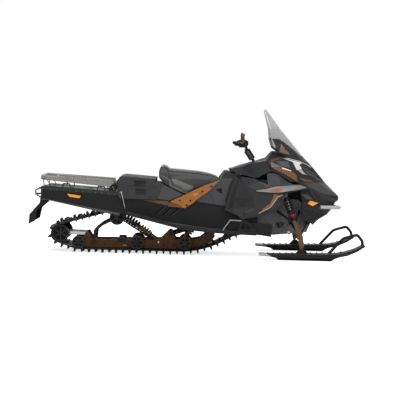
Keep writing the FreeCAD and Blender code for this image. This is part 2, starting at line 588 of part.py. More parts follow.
def rack_z(x):
    """Height of the rack's axis at a place along it."""
    return RACK_FRONT_Z + (x - RACK_FRONT) * (RACK_REAR_Z - RACK_FRONT_Z) / (RACK_REAR - RACK_FRONT)


def rack_frame(grow):
    points = [V(RACK_FRONT, -RACK_Y, RACK_FRONT_Z), V(RACK_REAR, -RACK_Y, RACK_REAR_Z),
              V(RACK_REAR, RACK_Y, RACK_REAR_Z), V(RACK_FRONT, RACK_Y, RACK_FRONT_Z)]
    return flat_tube(points, RACK_WIDE + 2 * grow, RACK_TALL + 2 * grow, RACK_BEND)


def rear_rack():
    """Flat-sided tube loop round the cargo deck with cross bars."""
    frame = rack_frame(0)
    for share in RACK_BAR_SHARES:
        x = RACK_FRONT + share * (RACK_REAR - RACK_FRONT)
        frame = frame.fuse(bar_y(x, rack_z(x), RACK_BAR_R, RACK_Y))
    return frame


def rack_brackets():
    """Plates beside the rack's front ends on the tunnel, and the wire legs at its rear."""
    cradle = rack_frame(SEAT_GAP)
    stands = []
    for side in (-1, 1):
        y = side * (RACK_Y + RACK_WIDE / 2 + SEAT_GAP)
        front = BOX_REAR - SEAT_GAP * 10
        rear = front - RACK_TALL * 1.6
        outline = [(rear, deck_z(rear) + SEAT_GAP), (rear, rack_z(rear) - RACK_TALL * 0.6),
                   (front - RACK_TALL / 2, rack_z(front) + RACK_TALL * 0.6), (front, rack_z(front) + RACK_TALL * 0.6),
                   (front, deck_z(front) + SEAT_GAP)]
        stands.append(plate(outline, *sorted((y, y + side * BRACKET_HALF))))
        for foot, head in RACK_LEG_X:
            foot_at = V(RACK_REAR + foot, side * RACK_Y, deck_z(RACK_REAR + foot) + SEAT_GAP)
            head_at = V(RACK_REAR + head, side * RACK_Y, rack_z(RACK_REAR + head))
            leg = rod(foot_at, head_at, RACK_WIRE_R)
            stands.append(leg.cut(cradle).cut(under_deck(SEAT_GAP)))
    return Part.makeCompound(stands)


def rear_bumper():
    """Bent tube guards at both sides of the tunnel's rear, joined by a cross bar."""
    body = bar_y(TUNNEL_REAR + GUARD_BAR[0], TUNNEL_LOW + GUARD_BAR[1], GUARD_R, GUARD_Y)
    for side in (-1, 1):
        points = [V(TUNNEL_REAR + a, side * GUARD_Y, TUNNEL_LOW + b) for a, b in GUARD_POINTS]
        body = body.fuse(tube(points, GUARD_R, GUARD_R * 2))
    room = plate(tunnel_outline(), -TUNNEL_WIDTH / 2, TUNNEL_WIDTH / 2)
    return body.cut(room)


# Track, wheels and rails

def track_floor():
    """Height of the belt's inner face where the track lies on the ground."""
    return LUG_HEIGHT + BELT


def track_circles():
    floor = track_floor()
    return [(REAR_WHEEL_X, REAR_WHEEL_Z, REAR_WHEEL_R), (REAR_LOW_X, floor + REAR_LOW_R, REAR_LOW_R),
            (RAIL_BOW_X, floor + RAIL_BOW_R, RAIL_BOW_R), (DRIVE_X, DRIVE_Z, DRIVE_PITCH_R),
            (CARRIER_X, CARRIER_Z, CARRIER_R)]


def track_runs():
    """Arcs of the belt's inner line as (x, z, radius, angle from, angle to), in order round the loop."""
    circles = track_circles()
    headings = []
    for (x, z, r), (x2, z2, r2) in zip(circles, circles[1:] + circles[:1]):
        span = math.hypot(x2 - x, z2 - z)
        headings.append(math.atan2(z2 - z, x2 - x) - math.asin((r2 - r) / span))
    arcs = []
    for i, (x, z, r) in enumerate(circles):
        arrive, leave = headings[i - 1], headings[i]
        while leave < arrive:
            leave += 2 * math.pi
        arcs.append((x, z, r, arrive, leave))
    return arcs


def loop_point(runs, s, outward):
    """Point at a length along the belt's inner line, moved outward."""
    for i, (x, z, r, arrive, leave) in enumerate(runs):
        arc = r * (leave - arrive)
        if s <= arc:
            heading = arrive + s / r
            reach = r + outward
            return (x + reach * math.sin(heading), z - reach * math.cos(heading))
        s -= arc
        x2, z2, r2, arrive2, leave2 = runs[(i + 1) % len(runs)]
        start = V(x + r * math.sin(leave), 0, z - r * math.cos(leave))
        end = V(x2 + r2 * math.sin(arrive2), 0, z2 - r2 * math.cos(arrive2))
        line = end.sub(start)
        if s <= line.Length:
            ahead = line.normalize()
            spot = start + ahead * s
            return (spot.x + outward * ahead.z, spot.z - outward * ahead.x)
        s -= line.Length
    return loop_point(runs, s, outward)


def loop_length(runs):
    total = 0.0
    for i, (x, z, r, arrive, leave) in enumerate(runs):
        x2, z2, r2, arrive2, leave2 = runs[(i + 1) % len(runs)]
        start = V(x + r * math.sin(leave), 0, z - r * math.cos(leave))
        end = V(x2 + r2 * math.sin(arrive2), 0, z2 - r2 * math.cos(arrive2))
        total += r * (leave - arrive) + end.sub(start).Length
    return total


def track():
    """Endless belt with bars of lugs outside and two rows of drive lugs inside, as one loop."""
    runs = track_runs()
    length = loop_length(runs)
    rows = 2 * round(length / LUG_PITCH_AIM / 2)
    pitch = length / rows

    def outer(heights):
        points = []
        for row in range(rows):
            middle = row * pitch
            height = heights[row % 2]
            if height:
                for along, up in ((-LUG_BASE, 0), (-LUG_TIP, height), (LUG_TIP, height), (LUG_BASE, 0)):
                    points.append(loop_point(runs, (middle + along / 2) % length, BELT + up))
            else:
                points.append(loop_point(runs, middle, BELT))
            points.append(loop_point(runs, middle + pitch / 2, BELT))
        return points

    def inner(height):
        points = []
        for row in range(rows):
            middle = row * pitch
            for share in (-0.34, -0.17, 0.0, 0.17, 0.34):
                points.append(loop_point(runs, (middle + share * pitch) % length, 0))
            between = middle + pitch / 2
            if height:
                for along, up in ((-0.13, 0), (-0.07, height), (0.07, height), (0.13, 0)):
                    points.append(loop_point(runs, between + along * pitch, -up))
            else:
                points.append(loop_point(runs, between, 0))
        return points

    def band(outline, hole, y_from, y_to):
        return plate(outline, y_from, y_to).cut(plate(hole, y_from - OVERRUN, y_to + OVERRUN))

    half = TRACK_WIDTH / 2
    drive_in = DRIVE_LUG_Y - DRIVE_LUG_WIDTH / 2
    drive_out = DRIVE_LUG_Y + DRIVE_LUG_WIDTH / 2
    edge_rows = outer((LUG_HEIGHT, LUG_HEIGHT * 0.75))
    middle_rows = outer((0, LUG_HEIGHT))
    bands = [band(middle_rows, inner(0), -drive_in, drive_in)]
    for side in (-1, 1):
        drive = band(middle_rows, inner(DRIVE_LUG_HEIGHT), drive_in, drive_out)
        edge = band(edge_rows, inner(0), drive_out, half)
        bands += [drive, edge] if side > 0 else [mirrored(drive), mirrored(edge)]
    return bands[0].multiFuse(bands[1:]).removeSplitter()


def wheel(x, z, radius, y):
    """Rubber-tyred wheel: rim, thin web with lightening holes and a hub."""
    half = WHEEL_WIDTH / 2
    disc = Part.makeCylinder(radius - RUNNING_GAP, WHEEL_WIDTH, V(x, y - half, z), V(0, 1, 0))
    rim_in = radius - WHEEL_RIM
    for start in (y - half, y + WHEEL_WEB / 2):
        pocket = Part.makeCylinder(rim_in, half - WHEEL_WEB / 2, V(x, start, z), V(0, 1, 0))
        disc = disc.cut(pocket.cut(bar_y(x, z, WHEEL_HUB_R, abs(y) + WHEEL_WIDTH)))
    spokes = WHEEL_SPOKES
    mid = (rim_in + WHEEL_HUB_R) / 2
    for i in range(spokes):
        angle = 2 * math.pi * i / spokes
        hole = Part.makeCylinder((rim_in - WHEEL_HUB_R) * 0.36, WHEEL_WIDTH,
                                 V(x + mid * math.cos(angle), y - half, z + mid * math.sin(angle)), V(0, 1, 0))
        disc = disc.cut(hole)
    return disc


def wheel_set(x, z, radius, reach):
    """Two wheels on one axle."""
    axle = bar_y(x, z, AXLE_R, reach)
    return axle.fuse(wheel(x, z, radius, -WHEEL_Y)).fuse(wheel(x, z, radius, WHEEL_Y))


def low_wheel_places():
    floor = track_floor()
    reach = RAIL_BOW_R - LOW_WHEEL_R
    bow_z = floor + RAIL_BOW_R - math.sqrt(reach ** 2 - (FRONT_WHEEL_X - RAIL_BOW_X) ** 2)
    return [(REAR_LOW_X, floor + REAR_LOW_R, REAR_LOW_R), (MID_WHEEL_X, floor + LOW_WHEEL_R, LOW_WHEEL_R),
            (FRONT_WHEEL_X, bow_z, LOW_WHEEL_R)]


def track_wheels():
    """Rear idlers, the three pairs along the rails and the pair that carries the upper run."""
    sets = [wheel_set(x, z, r, WHEEL_Y + WHEEL_WIDTH) for x, z, r in low_wheel_places()]
    sets.append(wheel_set(REAR_WHEEL_X, REAR_WHEEL_Z, REAR_WHEEL_R, WHEEL_Y + WHEEL_WIDTH))
    sets.append(wheel_set(CARRIER_X, CARRIER_Z, CARRIER_R, TUNNEL_WIDTH / 2))
    return Part.makeCompound(sets)


def rail_points():
    return spread(RAIL_SHARES, RAIL_REAR, track_floor() + SLIDER_DEEP + 4 * RUNNING_GAP, RAIL_LENGTH, RAIL_RISE)


def rail_holes():
    """Shafts that pass through the rails."""
    places = [(x, z, AXLE_R) for x, z, r in low_wheel_places()]
    places += [(REAR_ARM_X, REAR_ARM_Z, ARM_TUBE_R), (FRONT_ARM_X, FRONT_ARM_Z, ARM_TUBE_R),
               (SHOCK_LOW_X, SHOCK_LOW_Z, SHOCK_PIN_R), (MID_SHOCK_LOW_X, MID_SHOCK_LOW_Z, SHOCK_PIN_R)]
    return places


def rail():
    points = rail_points()
    body = plate(points, -RAIL_Y - RAIL_THICK / 2, -RAIL_Y + RAIL_THICK / 2)
    first, last = points[0], points[-1]
    foot = box((first[0], last[0]), (-RAIL_Y - SLIDER_WIDE / 2, -RAIL_Y + SLIDER_WIDE / 2),
               (first[1], first[1] + SLIDER_DEEP))
    body = body.fuse(foot)
    for x, z, r in rail_holes():
        body = body.cut(bar_y(x, z, r + SEAT_GAP, RAIL_Y * 2))
    return body.removeSplitter()


def rail_slider():
    """Wear strip along the rail's foot, up to the bow."""
    points = rail_points()
    under = [points[0], points[-1], points[-2], points[-3]]
    top = [(x, z - SEAT_GAP) for x, z in under]
    bottom = [(x, z - SLIDER_DEEP) for x, z in reversed(under)]
    return plate(top + bottom, -RAIL_Y - SLIDER_WIDE / 2, -RAIL_Y + SLIDER_WIDE / 2)


def axle_carrier():
    """Adjuster bar that holds the rear axle behind the rail."""
    points = rail_points()
    nose = points[2]
    bar = plate([(nose[0], nose[1] - AXLE_R * 2.6), (nose[0], nose[1]), (REAR_WHEEL_X, REAR_WHEEL_Z + AXLE_R * 1.6),
                 (REAR_WHEEL_X - AXLE_R * 1.6, REAR_WHEEL_Z), (REAR_WHEEL_X, REAR_WHEEL_Z - AXLE_R * 1.6)],
                -RAIL_Y - RAIL_THICK / 2, -RAIL_Y + RAIL_THICK / 2)
    bar = bar.cut(plate(points, -RAIL_Y - RAIL_THICK, -RAIL_Y + RAIL_THICK))
    return bar.cut(bar_y(REAR_WHEEL_X, REAR_WHEEL_Z, AXLE_R + SEAT_GAP, RAIL_Y * 2))


def rear_arm():
    """Bent tube arm from the rails to the carrier axle, with the ears that hold the shock."""
    arms = bar_y(REAR_ARM_X, REAR_ARM_Z, ARM_TUBE_R, ARM_Y + ARM_TUBE_R)
    arms = arms.fuse(bar_y(CARRIER_X, CARRIER_Z, AXLE_R + ARM_TUBE_R / 2, ARM_Y + ARM_TUBE_R))
    knee = V(REAR_ARM_X + REAR_KNEE * 0.1, 0, REAR_ARM_Z + REAR_KNEE)
    elbow = V(REAR_ARM_X + REAR_KNEE * 0.7, 0, REAR_ARM_Z + REAR_KNEE * 1.5)
    for side in (-1, 1):
        y = V(0, side * ARM_Y, 0)
        boss_from = side * ARM_Y - ARM_TUBE_R * 1.2
        arms = arms.fuse(Part.makeCylinder(ARM_TUBE_R * 1.4, ARM_TUBE_R * 2.4, V(REAR_ARM_X, boss_from, REAR_ARM_Z),
                                           V(0, 1, 0)))
        bends = [V(REAR_ARM_X, 0, REAR_ARM_Z) + y, knee + y, elbow + y, V(CARRIER_X, 0, CARRIER_Z) + y]
        arms = arms.fuse(tube(bends, ARM_TUBE_R, ARM_TUBE_R * 2))
        ear_y = side * (SHOCK_R + RUNNING_GAP)
        ear_to = ear_y + side * ARM_TUBE_R * 0.6
        ear = plate([(CARRIER_X - ARM_TUBE_R, CARRIER_Z), (SHOCK_TOP_X - ARM_TUBE_R, SHOCK_TOP_Z),
                     (SHOCK_TOP_X, SHOCK_TOP_Z + ARM_TUBE_R), (SHOCK_TOP_X + ARM_TUBE_R, SHOCK_TOP_Z),
                     (CARRIER_X + ARM_TUBE_R, CARRIER_Z)], min(ear_y, ear_to), max(ear_y, ear_to))
        arms = arms.fuse(ear)
    arms = arms.fuse(bar_y(SHOCK_TOP_X, SHOCK_TOP_Z, SHOCK_PIN_R, SHOCK_R + ARM_TUBE_R * 0.6))
    return arms.cut(bar_y(CARRIER_X, CARRIER_Z, AXLE_R + SEAT_GAP, TRACK_WIDTH)).removeSplitter()


def front_arm():
    arms = bar_y(FRONT_ARM_X, FRONT_ARM_Z, ARM_TUBE_R, ARM_Y + ARM_TUBE_R)
    arms = arms.fuse(bar_y(FRONT_TOP_X, FRONT_TOP_Z, ARM_TUBE_R, TUNNEL_WIDTH / 2 - TUNNEL_SHEET - SEAT_GAP))
    arms = arms.fuse(bar_y(FRONT_TOP_X - SHOCK_R * 2, FRONT_TOP_Z + SHOCK_R, SHOCK_PIN_R, ARM_Y))
    for side in (-1, 1):
        y = V(0, side * ARM_Y, 0)
        low = V(FRONT_ARM_X, 0, FRONT_ARM_Z) + y
        high = V(FRONT_TOP_X, 0, FRONT_TOP_Z) + y
        arms = arms.fuse(rod(low, high, ARM_TUBE_R))
        tip = V(FRONT_TOP_X - SHOCK_R * 2, side * ARM_Y, FRONT_TOP_Z + SHOCK_R)
        arms = arms.fuse(rod(tip, high - (high - low) * 0.3, ARM_TUBE_R * 0.7))
    return arms


def shock(low, high, spring_share, pin_r):
    """Damper body, piston rod, eyes across the machine, and a spring shown as a row of rings."""
    line = high.sub(low)
    length = line.Length
    ahead = V(line).normalize()
    eye_half = SHOCK_R * 0.8
    body = rod(low + ahead * SHOCK_R, low + ahead * (length * 0.62), SHOCK_R)
    body = body.fuse(rod(low + ahead * (length * 0.3), high - ahead * SHOCK_R * 0.5, SHOCK_R * 0.42))
    for eye in (low, high):
        body = body.fuse(Part.makeCylinder(SHOCK_R * 0.8, 2 * eye_half, eye - V(0, eye_half, 0), V(0, 1, 0)))
    turns = round(length * spring_share / (SPRING_WIRE_R * 4))
    start = low + ahead * (length * (SPRING_TOP_SHARE - spring_share))
    rise = length * spring_share / turns
    profile = [V(0, 0, 0)]
    for turn in range(turns):
        profile.append(V(SHOCK_R + RUNNING_GAP, 0, turn * rise))
        profile.append(V(SPRING_R, 0, (turn + 0.35) * rise))
        profile.append(V(SPRING_R, 0, (turn + 0.65) * rise))
    profile += [V(SHOCK_R + RUNNING_GAP, 0, turns * rise), V(0, 0, turns * rise)]
    rings = Part.Face(Part.makePolygon(profile + profile[:1])).revolve(V(0, 0, 0), V(0, 0, 1), 360)
    rings.Placement = FreeCAD.Placement(start, FreeCAD.Rotation(V(0, 0, 1), ahead))
    body = body.fuse(rings)
    for eye in (low, high):
        body = body.cut(Part.makeCylinder(pin_r + RUNNING_GAP, 4 * eye_half, eye - V(0, 2 * eye_half, 0), V(0, 1, 0)))
    return body


def rail_shock(x, z, top_x, top_z, spring_share):
    """Track shock on the cross shaft that carries its foot between the rails."""
    body = shock(V(x, 0, z), V(top_x, 0, top_z), spring_share, SHOCK_PIN_R)
    return body.fuse(bar_y(x, z, SHOCK_PIN_R + RUNNING_GAP, SHOCK_R)).fuse(bar_y(x, z, SHOCK_PIN_R, RAIL_Y + RAIL_THICK))


def rear_links():
    """Link rods from the rear arm down to the rails, each on its own pin, and the stop blocks on the rails."""
    x, z = LINK_FOOT
    pin_from = V(x, -RAIL_Y - RAIL_THICK / 2, z)
    pin_to = V(x, -LINK_Y + LINK_R * 1.5, z)
    arm_room = bar_y(CARRIER_X, CARRIER_Z, AXLE_R + ARM_TUBE_R / 2 + SEAT_GAP, TUNNEL_WIDTH)
    link = rod(V(x, -LINK_Y, z), V(CARRIER_X, -LINK_Y, CARRIER_Z), LINK_R).cut(arm_room).fuse(rod(pin_from, pin_to, LINK_R))
    inner = RAIL_Y + RAIL_THICK / 2 + SEAT_GAP
    block = box((STOP_PLACE[0], STOP_PLACE[1]), (-inner - STOP_WIDE, -inner), (STOP_PLACE[2], STOP_PLACE[3]))
    return pair(Part.makeCompound([link, block]))


def drive_axle():
    half = TUNNEL_WIDTH / 2 - TUNNEL_SHEET - SEAT_GAP
    axle = bar_y(DRIVE_X, DRIVE_Z, AXLE_R * 1.6, half)
    inner = DRIVE_LUG_Y - DRIVE_LUG_WIDTH / 2 - DRIVE_LUG_WIDTH
    for y in (-inner - DRIVE_LUG_WIDTH * 0.7, inner):
        disc = Part.makeCylinder(DRIVE_PITCH_R - RUNNING_GAP, DRIVE_LUG_WIDTH * 0.7, V(DRIVE_X, y, DRIVE_Z), V(0, 1, 0))
        axle = axle.fuse(disc)
    return axle


# Steering and front suspension

def king_point(along, ahead, y):
    """Point in the kingpin's frame: along its raked axis, and ahead of it."""
    rake = math.radians(CASTER)
    return V(BALL_LOW_X - along * math.sin(rake) + ahead * math.cos(rake), y,
             BALL_LOW_Z + along * math.cos(rake) + ahead * math.sin(rake))


def king_plate(corners, y_from, y_to):
    """Flat piece outlined in the kingpin's frame."""
    points = [king_point(along, ahead, y_from) for along, ahead in corners]
    return Part.Face(Part.makePolygon(points + points[:1])).extrude(V(0, y_to - y_from, 0))


def king_rod(along_from, along_to, ahead, y, radius):
    return rod(king_point(along_from, ahead, y), king_point(along_to, ahead, y), radius)


def spindle():
    """Raked upright with lugs round both arm eyes, a steering arm and the bore of the ski bolt."""
    outer = -SKI_Y - SPINDLE_THICK / 2
    inner = -SKI_Y + SPINDLE_THICK / 2
    top = BALL_SPREAD + EYE_HALF * 2.8
    wide = SPINDLE_THICK * 0.7
    bolt = V(SKI_BOLT_X, outer, SKI_BOLT_Z)
    drop = BALL_LOW_Z - SKI_BOLT_Z
    body = king_plate([(top, -wide * 0.6), (top, wide * 0.6), (BALL_SPREAD / 3, wide), (0, wide), (-drop * 0.75, 0),
                       (-drop * 0.9, -wide * 2), (-drop * 0.5, -wide * 1.7), (0, -wide)], outer, inner)
    body = body.fuse(Part.makeCylinder(SKI_BOLT_R * 2.5, SPINDLE_THICK, bolt, V(0, 1, 0)))
    for along in (0, BALL_SPREAD):
        for side in (-1, 1):
            near = along + side * (EYE_HALF + FREE_GAP * 1.2)
            far = near + side * EYE_HALF * 0.8
            lug = king_plate([(near, -wide * 0.6), (far, -wide * 0.6), (far, wide * 0.6), (near, wide * 0.6)],
                             inner - SPINDLE_THICK / 2, -KING_Y + KING_PIN_R)
            body = body.fuse(lug)
        body = body.fuse(king_rod(along - EYE_HALF * 2.4, along + EYE_HALF * 2.4, 0, -KING_Y, KING_PIN_R))
    arm_low = TIE_S - EYE_HALF * 0.7 - 2 * RUNNING_GAP
    arm = king_plate([(arm_low - EYE_HALF * 0.7, wide * 0.5), (arm_low, wide * 0.5), (arm_low, -TIE_ARM - EYE_HALF),
                      (arm_low - EYE_HALF * 0.7, -TIE_ARM - EYE_HALF)], inner - SPINDLE_THICK / 2, -KING_Y + EYE_HALF)
    body = body.fuse(arm)
    body = body.fuse(king_rod(arm_low - EYE_HALF / 2, TIE_S + EYE_HALF, -TIE_ARM, -KING_Y, TIE_PIN_R))
    return body.cut(bar_y(SKI_BOLT_X, SKI_BOLT_Z, SKI_BOLT_R + SEAT_GAP, SKI_Y * 2)).removeSplitter()


def tie_rod():
    """Rod from the steering arm's stud towards the middle of the machine."""
    eye = king_rod(TIE_S - EYE_HALF * 0.7, TIE_S + EYE_HALF * 0.7, -TIE_ARM, -KING_Y, TIE_PIN_R * 2.2)
    centre = king_point(TIE_S, -TIE_ARM, -KING_Y)
    body = eye.fuse(rod(centre, V(TIE_IN_X, -TIE_IN_Y, TIE_IN_Z), TIE_R))
    return body.cut(king_rod(TIE_S - EYE_HALF * 2, TIE_S + EYE_HALF * 2, -TIE_ARM, -KING_Y, TIE_PIN_R + SEAT_GAP))


def wishbone(inner_x, inner_z, along):
    """Two tubes from sleeves on the frame to one eye on the kingpin."""
    centre = king_point(along, 0, -KING_Y)
    body = king_rod(along - EYE_HALF, along + EYE_HALF, 0, -KING_Y, EYE_R)
    for x in inner_x:
        inner = V(x, -ARM_IN_Y, inner_z)
        body = body.fuse(rod(inner, centre, WISH_TUBE_R))
        sleeve = Part.makeCylinder(ARM_SLEEVE_R, 2 * ARM_SLEEVE_HALF, inner - V(ARM_SLEEVE_HALF, 0, 0), V(1, 0, 0))
        body = body.fuse(sleeve)
    for x in inner_x:
        pin = Part.makeCylinder(SHOCK_PIN_R + SEAT_GAP, 4 * ARM_SLEEVE_HALF,
                                V(x - 2 * ARM_SLEEVE_HALF, -ARM_IN_Y, inner_z), V(1, 0, 0))
        body = body.cut(pin)
    return body.cut(king_rod(along - EYE_HALF * 2, along + EYE_HALF * 2, 0, -KING_Y, KING_PIN_R + SEAT_GAP))


def lower_wishbone():
    """Lower arm with the clevis of the shock's foot on its rear tube."""
    x, y, z = FRONT_SHOCK_LOW
    body = wishbone(LOW_IN_X, LOW_IN_Z, 0)
    for side in (-1, 1):
        near = -y + side * (SHOCK_R * 0.8 + 2 * RUNNING_GAP)
        far = near + side * BRACKET_HALF
        ear = plate([(x - EYE_R, z - EYE_R * 1.6), (x + EYE_R * 1.3, z - EYE_R * 1.6), (x + EYE_R / 2, z + EYE_R / 2),
                     (x - EYE_R / 2, z + EYE_R / 2)], min(near, far), max(near, far))
        body = body.fuse(ear)
    reach = SHOCK_R * 0.8 + BRACKET_HALF
    return body.fuse(Part.makeCylinder(SHOCK_PIN_R, 2 * reach, V(x, -y - reach, z), V(0, 1, 0)))


def front_shock():
    x, y, z = FRONT_SHOCK_LOW
    x2, y2, z2 = FRONT_SHOCK_TOP
    return shock(V(x, -y, z), V(x2, -y2, z2), FRONT_SPRING_SHARE, SHOCK_PIN_R)


def front_frame():
    """Box frame ahead of the tunnel with the pivots of all four arms and the shock towers."""
    half = FRAME_WIDTH / 2
    front = TUNNEL_FRONT + SEAT_GAP
    points = spread(FRAME_SHARES, front, FRAME_LOW, FRAME_LENGTH, FRAME_RISE)
    body = plate(points, -half, half)
    for inner_x, inner_z in ((LOW_IN_X, LOW_IN_Z), (HIGH_IN_X, HIGH_IN_Z)):
        for x in inner_x:
            for side in (-1, 1):
                y = side * ARM_IN_Y
                reach = ARM_SLEEVE_HALF + RUNNING_GAP
                body = body.fuse(Part.makeCylinder(SHOCK_PIN_R, 2 * (reach + BRACKET_HALF),
                                                   V(x - reach - BRACKET_HALF, y, inner_z), V(1, 0, 0)))
                for end in (x - reach - BRACKET_HALF, x + reach):
                    ear_from, ear_to = sorted((side * (half - BRACKET_HALF), y + side * ARM_SLEEVE_R))
                    body = body.fuse(box((end, end + BRACKET_HALF), (ear_from, ear_to),
                                         (inner_z - ARM_SLEEVE_R, inner_z + ARM_SLEEVE_R)))
    x, y, z = FRONT_SHOCK_TOP
    reach = SHOCK_R * 0.8 + 2 * RUNNING_GAP
    for side in (-1, 1):
        for near in (-reach - BRACKET_HALF, reach):
            ear_from, ear_to = sorted((side * (y + near), side * (y + near + BRACKET_HALF)))
            body = body.fuse(box((x - EYE_R, x + EYE_R), (ear_from, ear_to), (z - EYE_R, z + EYE_R * 1.6)))
        bridge_from, bridge_to = sorted((side * (half - BRACKET_HALF), side * (y + reach + BRACKET_HALF)))
        body = body.fuse(box((x - EYE_R, x + EYE_R), (bridge_from, bridge_to), (z + EYE_R * 1.2, z + EYE_R * 1.6)))
        pin_from = side * y - reach - BRACKET_HALF
        body = body.fuse(Part.makeCylinder(SHOCK_PIN_R, 2 * (reach + BRACKET_HALF), V(x, pin_from, z), V(0, 1, 0)))
    return body.cut(tie_rod_room())


def tie_rod_room():
    """Slots in the frame's sides through which the tie rods pass and swing."""
    reach = TIE_R + FREE_GAP * 2
    inner = TIE_IN_Y - TIE_SWING - FREE_GAP
    slot = box((TIE_IN_X - reach * 1.3, TIE_IN_X + reach * 1.8), (-FRAME_WIDTH, -inner), (TIE_IN_Z - reach * 1.2, TIE_IN_Z + reach))
    return pair(slot)


def ski():
    """Ski with a turned-up nose, a keel, the saddle ears and the bolt on which it rocks."""
    sole = spread(SKI_SHARES, SKI_REAR, 0, SKI_LENGTH, SKI_RISE)
    keel = spread(KEEL_SHARES, SKI_REAR, 0, SKI_LENGTH, SKI_RISE)
    half = SKI_WIDTH / 2
    body = plate(sole, -SKI_Y - half, -SKI_Y + half).fuse(plate(keel, -SKI_Y - half / 4, -SKI_Y + half / 4))
    reach = SPINDLE_THICK / 2 + 2 * RUNNING_GAP
    top = SKI_BOLT_Z + SKI_BOLT_R * 2.2
    low = SKI_RISE * 0.3
    for side in (-1, 1):
        ear_from, ear_to = sorted((-SKI_Y + side * reach, -SKI_Y + side * (reach + SKI_BOLT_R)))
        body = body.fuse(plate([(SKI_BOLT_X - EYE_R * 4, low), (SKI_BOLT_X + EYE_R * 4, low), (SKI_BOLT_X + EYE_R, top),
                                (SKI_BOLT_X - EYE_R, top)], ear_from, ear_to))
    bolt_half = reach + SKI_BOLT_R
    bolt = Part.makeCylinder(SKI_BOLT_R, 2 * bolt_half, V(SKI_BOLT_X, -SKI_Y - bolt_half, SKI_BOLT_Z), V(0, 1, 0))
    return body.fuse(bolt).removeSplitter()


def ski_loop():
    points = [V(x, -SKI_Y, z) for x, z in spread(LOOP_SHARES, LOOP_REAR, LOOP_LOW, LOOP_LENGTH, LOOP_RISE)]
    hoop = tube(points, SKI_LOOP_R, SKI_LOOP_R * 2.5)
    sole = spread(SKI_SHARES, SKI_REAR, SEAT_GAP, SKI_LENGTH, SKI_RISE)
    return hoop.cut(plate(sole, -SKI_Y - SKI_WIDTH, -SKI_Y + SKI_WIDTH))


def post_point(up, y):
    """Point up the steering post's raked axis."""
    rake = math.radians(POST_RAKE)
    return V(POST_X - up * math.sin(rake), y, POST_Z + up * math.cos(rake))


def steering_post():
    """Post, the two cheeks of the riser and the clamp that holds the bar."""
    body = rod(post_point(-POST_DEEP, 0), post_point(RISER_HEIGHT * 0.3, 0), POST_R)
    rake = math.radians(POST_RAKE)
    ahead = V(math.cos(rake), 0, math.sin(rake))
    low, high = post_point(RISER_CLEAR, 0), post_point(RISER_HEIGHT, 0)
    aside = ahead * (RISER_WIDE / 2)
    corners = [low - aside, low + aside, high + aside, high - aside]
    face = Part.Face(Part.makePolygon(corners + corners[:1]))
    for y in (-RISER_Y, RISER_Y - RISER_SHEET):
        cheek = face.extrude(V(0, RISER_SHEET, 0))
        cheek.translate(V(0, y, 0))
        body = body.fuse(cheek)
    for up, radius in ((RISER_CLEAR + POST_R, POST_R), (RISER_HEIGHT * 0.6, POST_R * 0.6)):
        spot = post_point(up, 0)
        body = body.fuse(bar_y(spot.x, spot.z, radius, RISER_Y))
    head = post_point(RISER_HEIGHT + BAR_R * 0.5, 0)
    body = body.fuse(bar_y(head.x, head.z, BAR_R * 1.7, RISER_Y))
    return body.cut(bar_y(head.x, head.z, BAR_R + SEAT_GAP, RISER_Y * 2))


def bar_points():
    """Places along the right half of the bar, from the riser's head out to the grip's end."""
    head = post_point(RISER_HEIGHT + BAR_R * 0.5, 0)
    return [V(head.x, -RISER_Y - BAR_R, head.z), V(head.x - BAR_R, -BAR_Y * 0.42, head.z + BAR_LIFT),
            V(head.x - BAR_SWEEP * 0.35, -BAR_Y * 0.7, head.z + BAR_LIFT),
            V(head.x - BAR_SWEEP, -BAR_Y, head.z + BAR_LIFT * 0.95)]


def bar_tube(radius):
    half = bar_points()
    return tube(half[::-1] + [V(p.x, -p.y, p.z) for p in half], radius, BAR_R * 3)


def grips():
    start, end = bar_points()[2:]
    line = end.sub(start)
    grip = rod(start + line * 0.25, end + line * 0.02, GRIP_R).cut(rod(start, end, BAR_R + SEAT_GAP))
    return pair(grip)


def bar_controls():
    """Switch and lever housings inboard of the grips, each with its lever ahead of the grip."""
    inner, start, end = bar_points()[1:]
    along = start.sub(inner)
    at = inner + along * 0.75
    outline = [(at.x + a, at.z + b) for a, b in CONTROL_OUTLINE]
    housing = plate(outline, at.y - CONTROL_HALF, at.y + CONTROL_HALF)
    pivot = V(at.x + LEVER_AHEAD, at.y, at.z)
    tip = V(end.x + LEVER_AHEAD * 2.4, end.y + LEVER_R * 6, end.z - LEVER_R)
    housing = housing.fuse(rod(pivot, tip, LEVER_R)).fuse(Part.makeSphere(LEVER_R * 1.5, tip))
    return pair(housing.cut(bar_tube(BAR_R + SEAT_GAP)))


# Cargo box and seat

def box_outline():
    return spread(BOX_SHARES, BOX_REAR, BOX_LOW, BOX_LENGTH, BOX_RISE)


def box_room(half):
    """Room of the cargo box, with its clearance."""
    return plate(box_outline(), -half, half).fuse(plate([(x + SEAT_GAP, z) for x, z in box_outline()], -half, half))


def lid_axis():
    """Lateral place and height of the lid's hinge pin."""
    return BOX_WIDTH / 2 + LID_PIN_OUT, LID_LOW + LID_PIN_UP


def hinge_piece(start, length, up):
    """Knuckle round the hinge pin with the strap that holds it to the wall above or below."""
    y, z = lid_axis()
    wall = BOX_WIDTH / 2
    strap = [(wall, z + up * LID_STRAP), (wall, z + up * (LID_PIN_UP + LID_KNUCKLE_R * 0.4)),
             (y - LID_KNUCKLE_R * 0.5, z + up * LID_KNUCKLE_R * 0.3), (y + LID_KNUCKLE_R * 0.6, z + up * LID_KNUCKLE_R * 0.6),
             (wall + LID_KNUCKLE_R * 0.6, z + up * LID_STRAP)]
    points = [V(start, a, b) for a, b in strap]
    body = Part.Face(Part.makePolygon(points + points[:1])).extrude(V(length, 0, 0))
    return body.fuse(Part.makeCylinder(LID_KNUCKLE_R, length, V(start, y, z), V(1, 0, 0)))


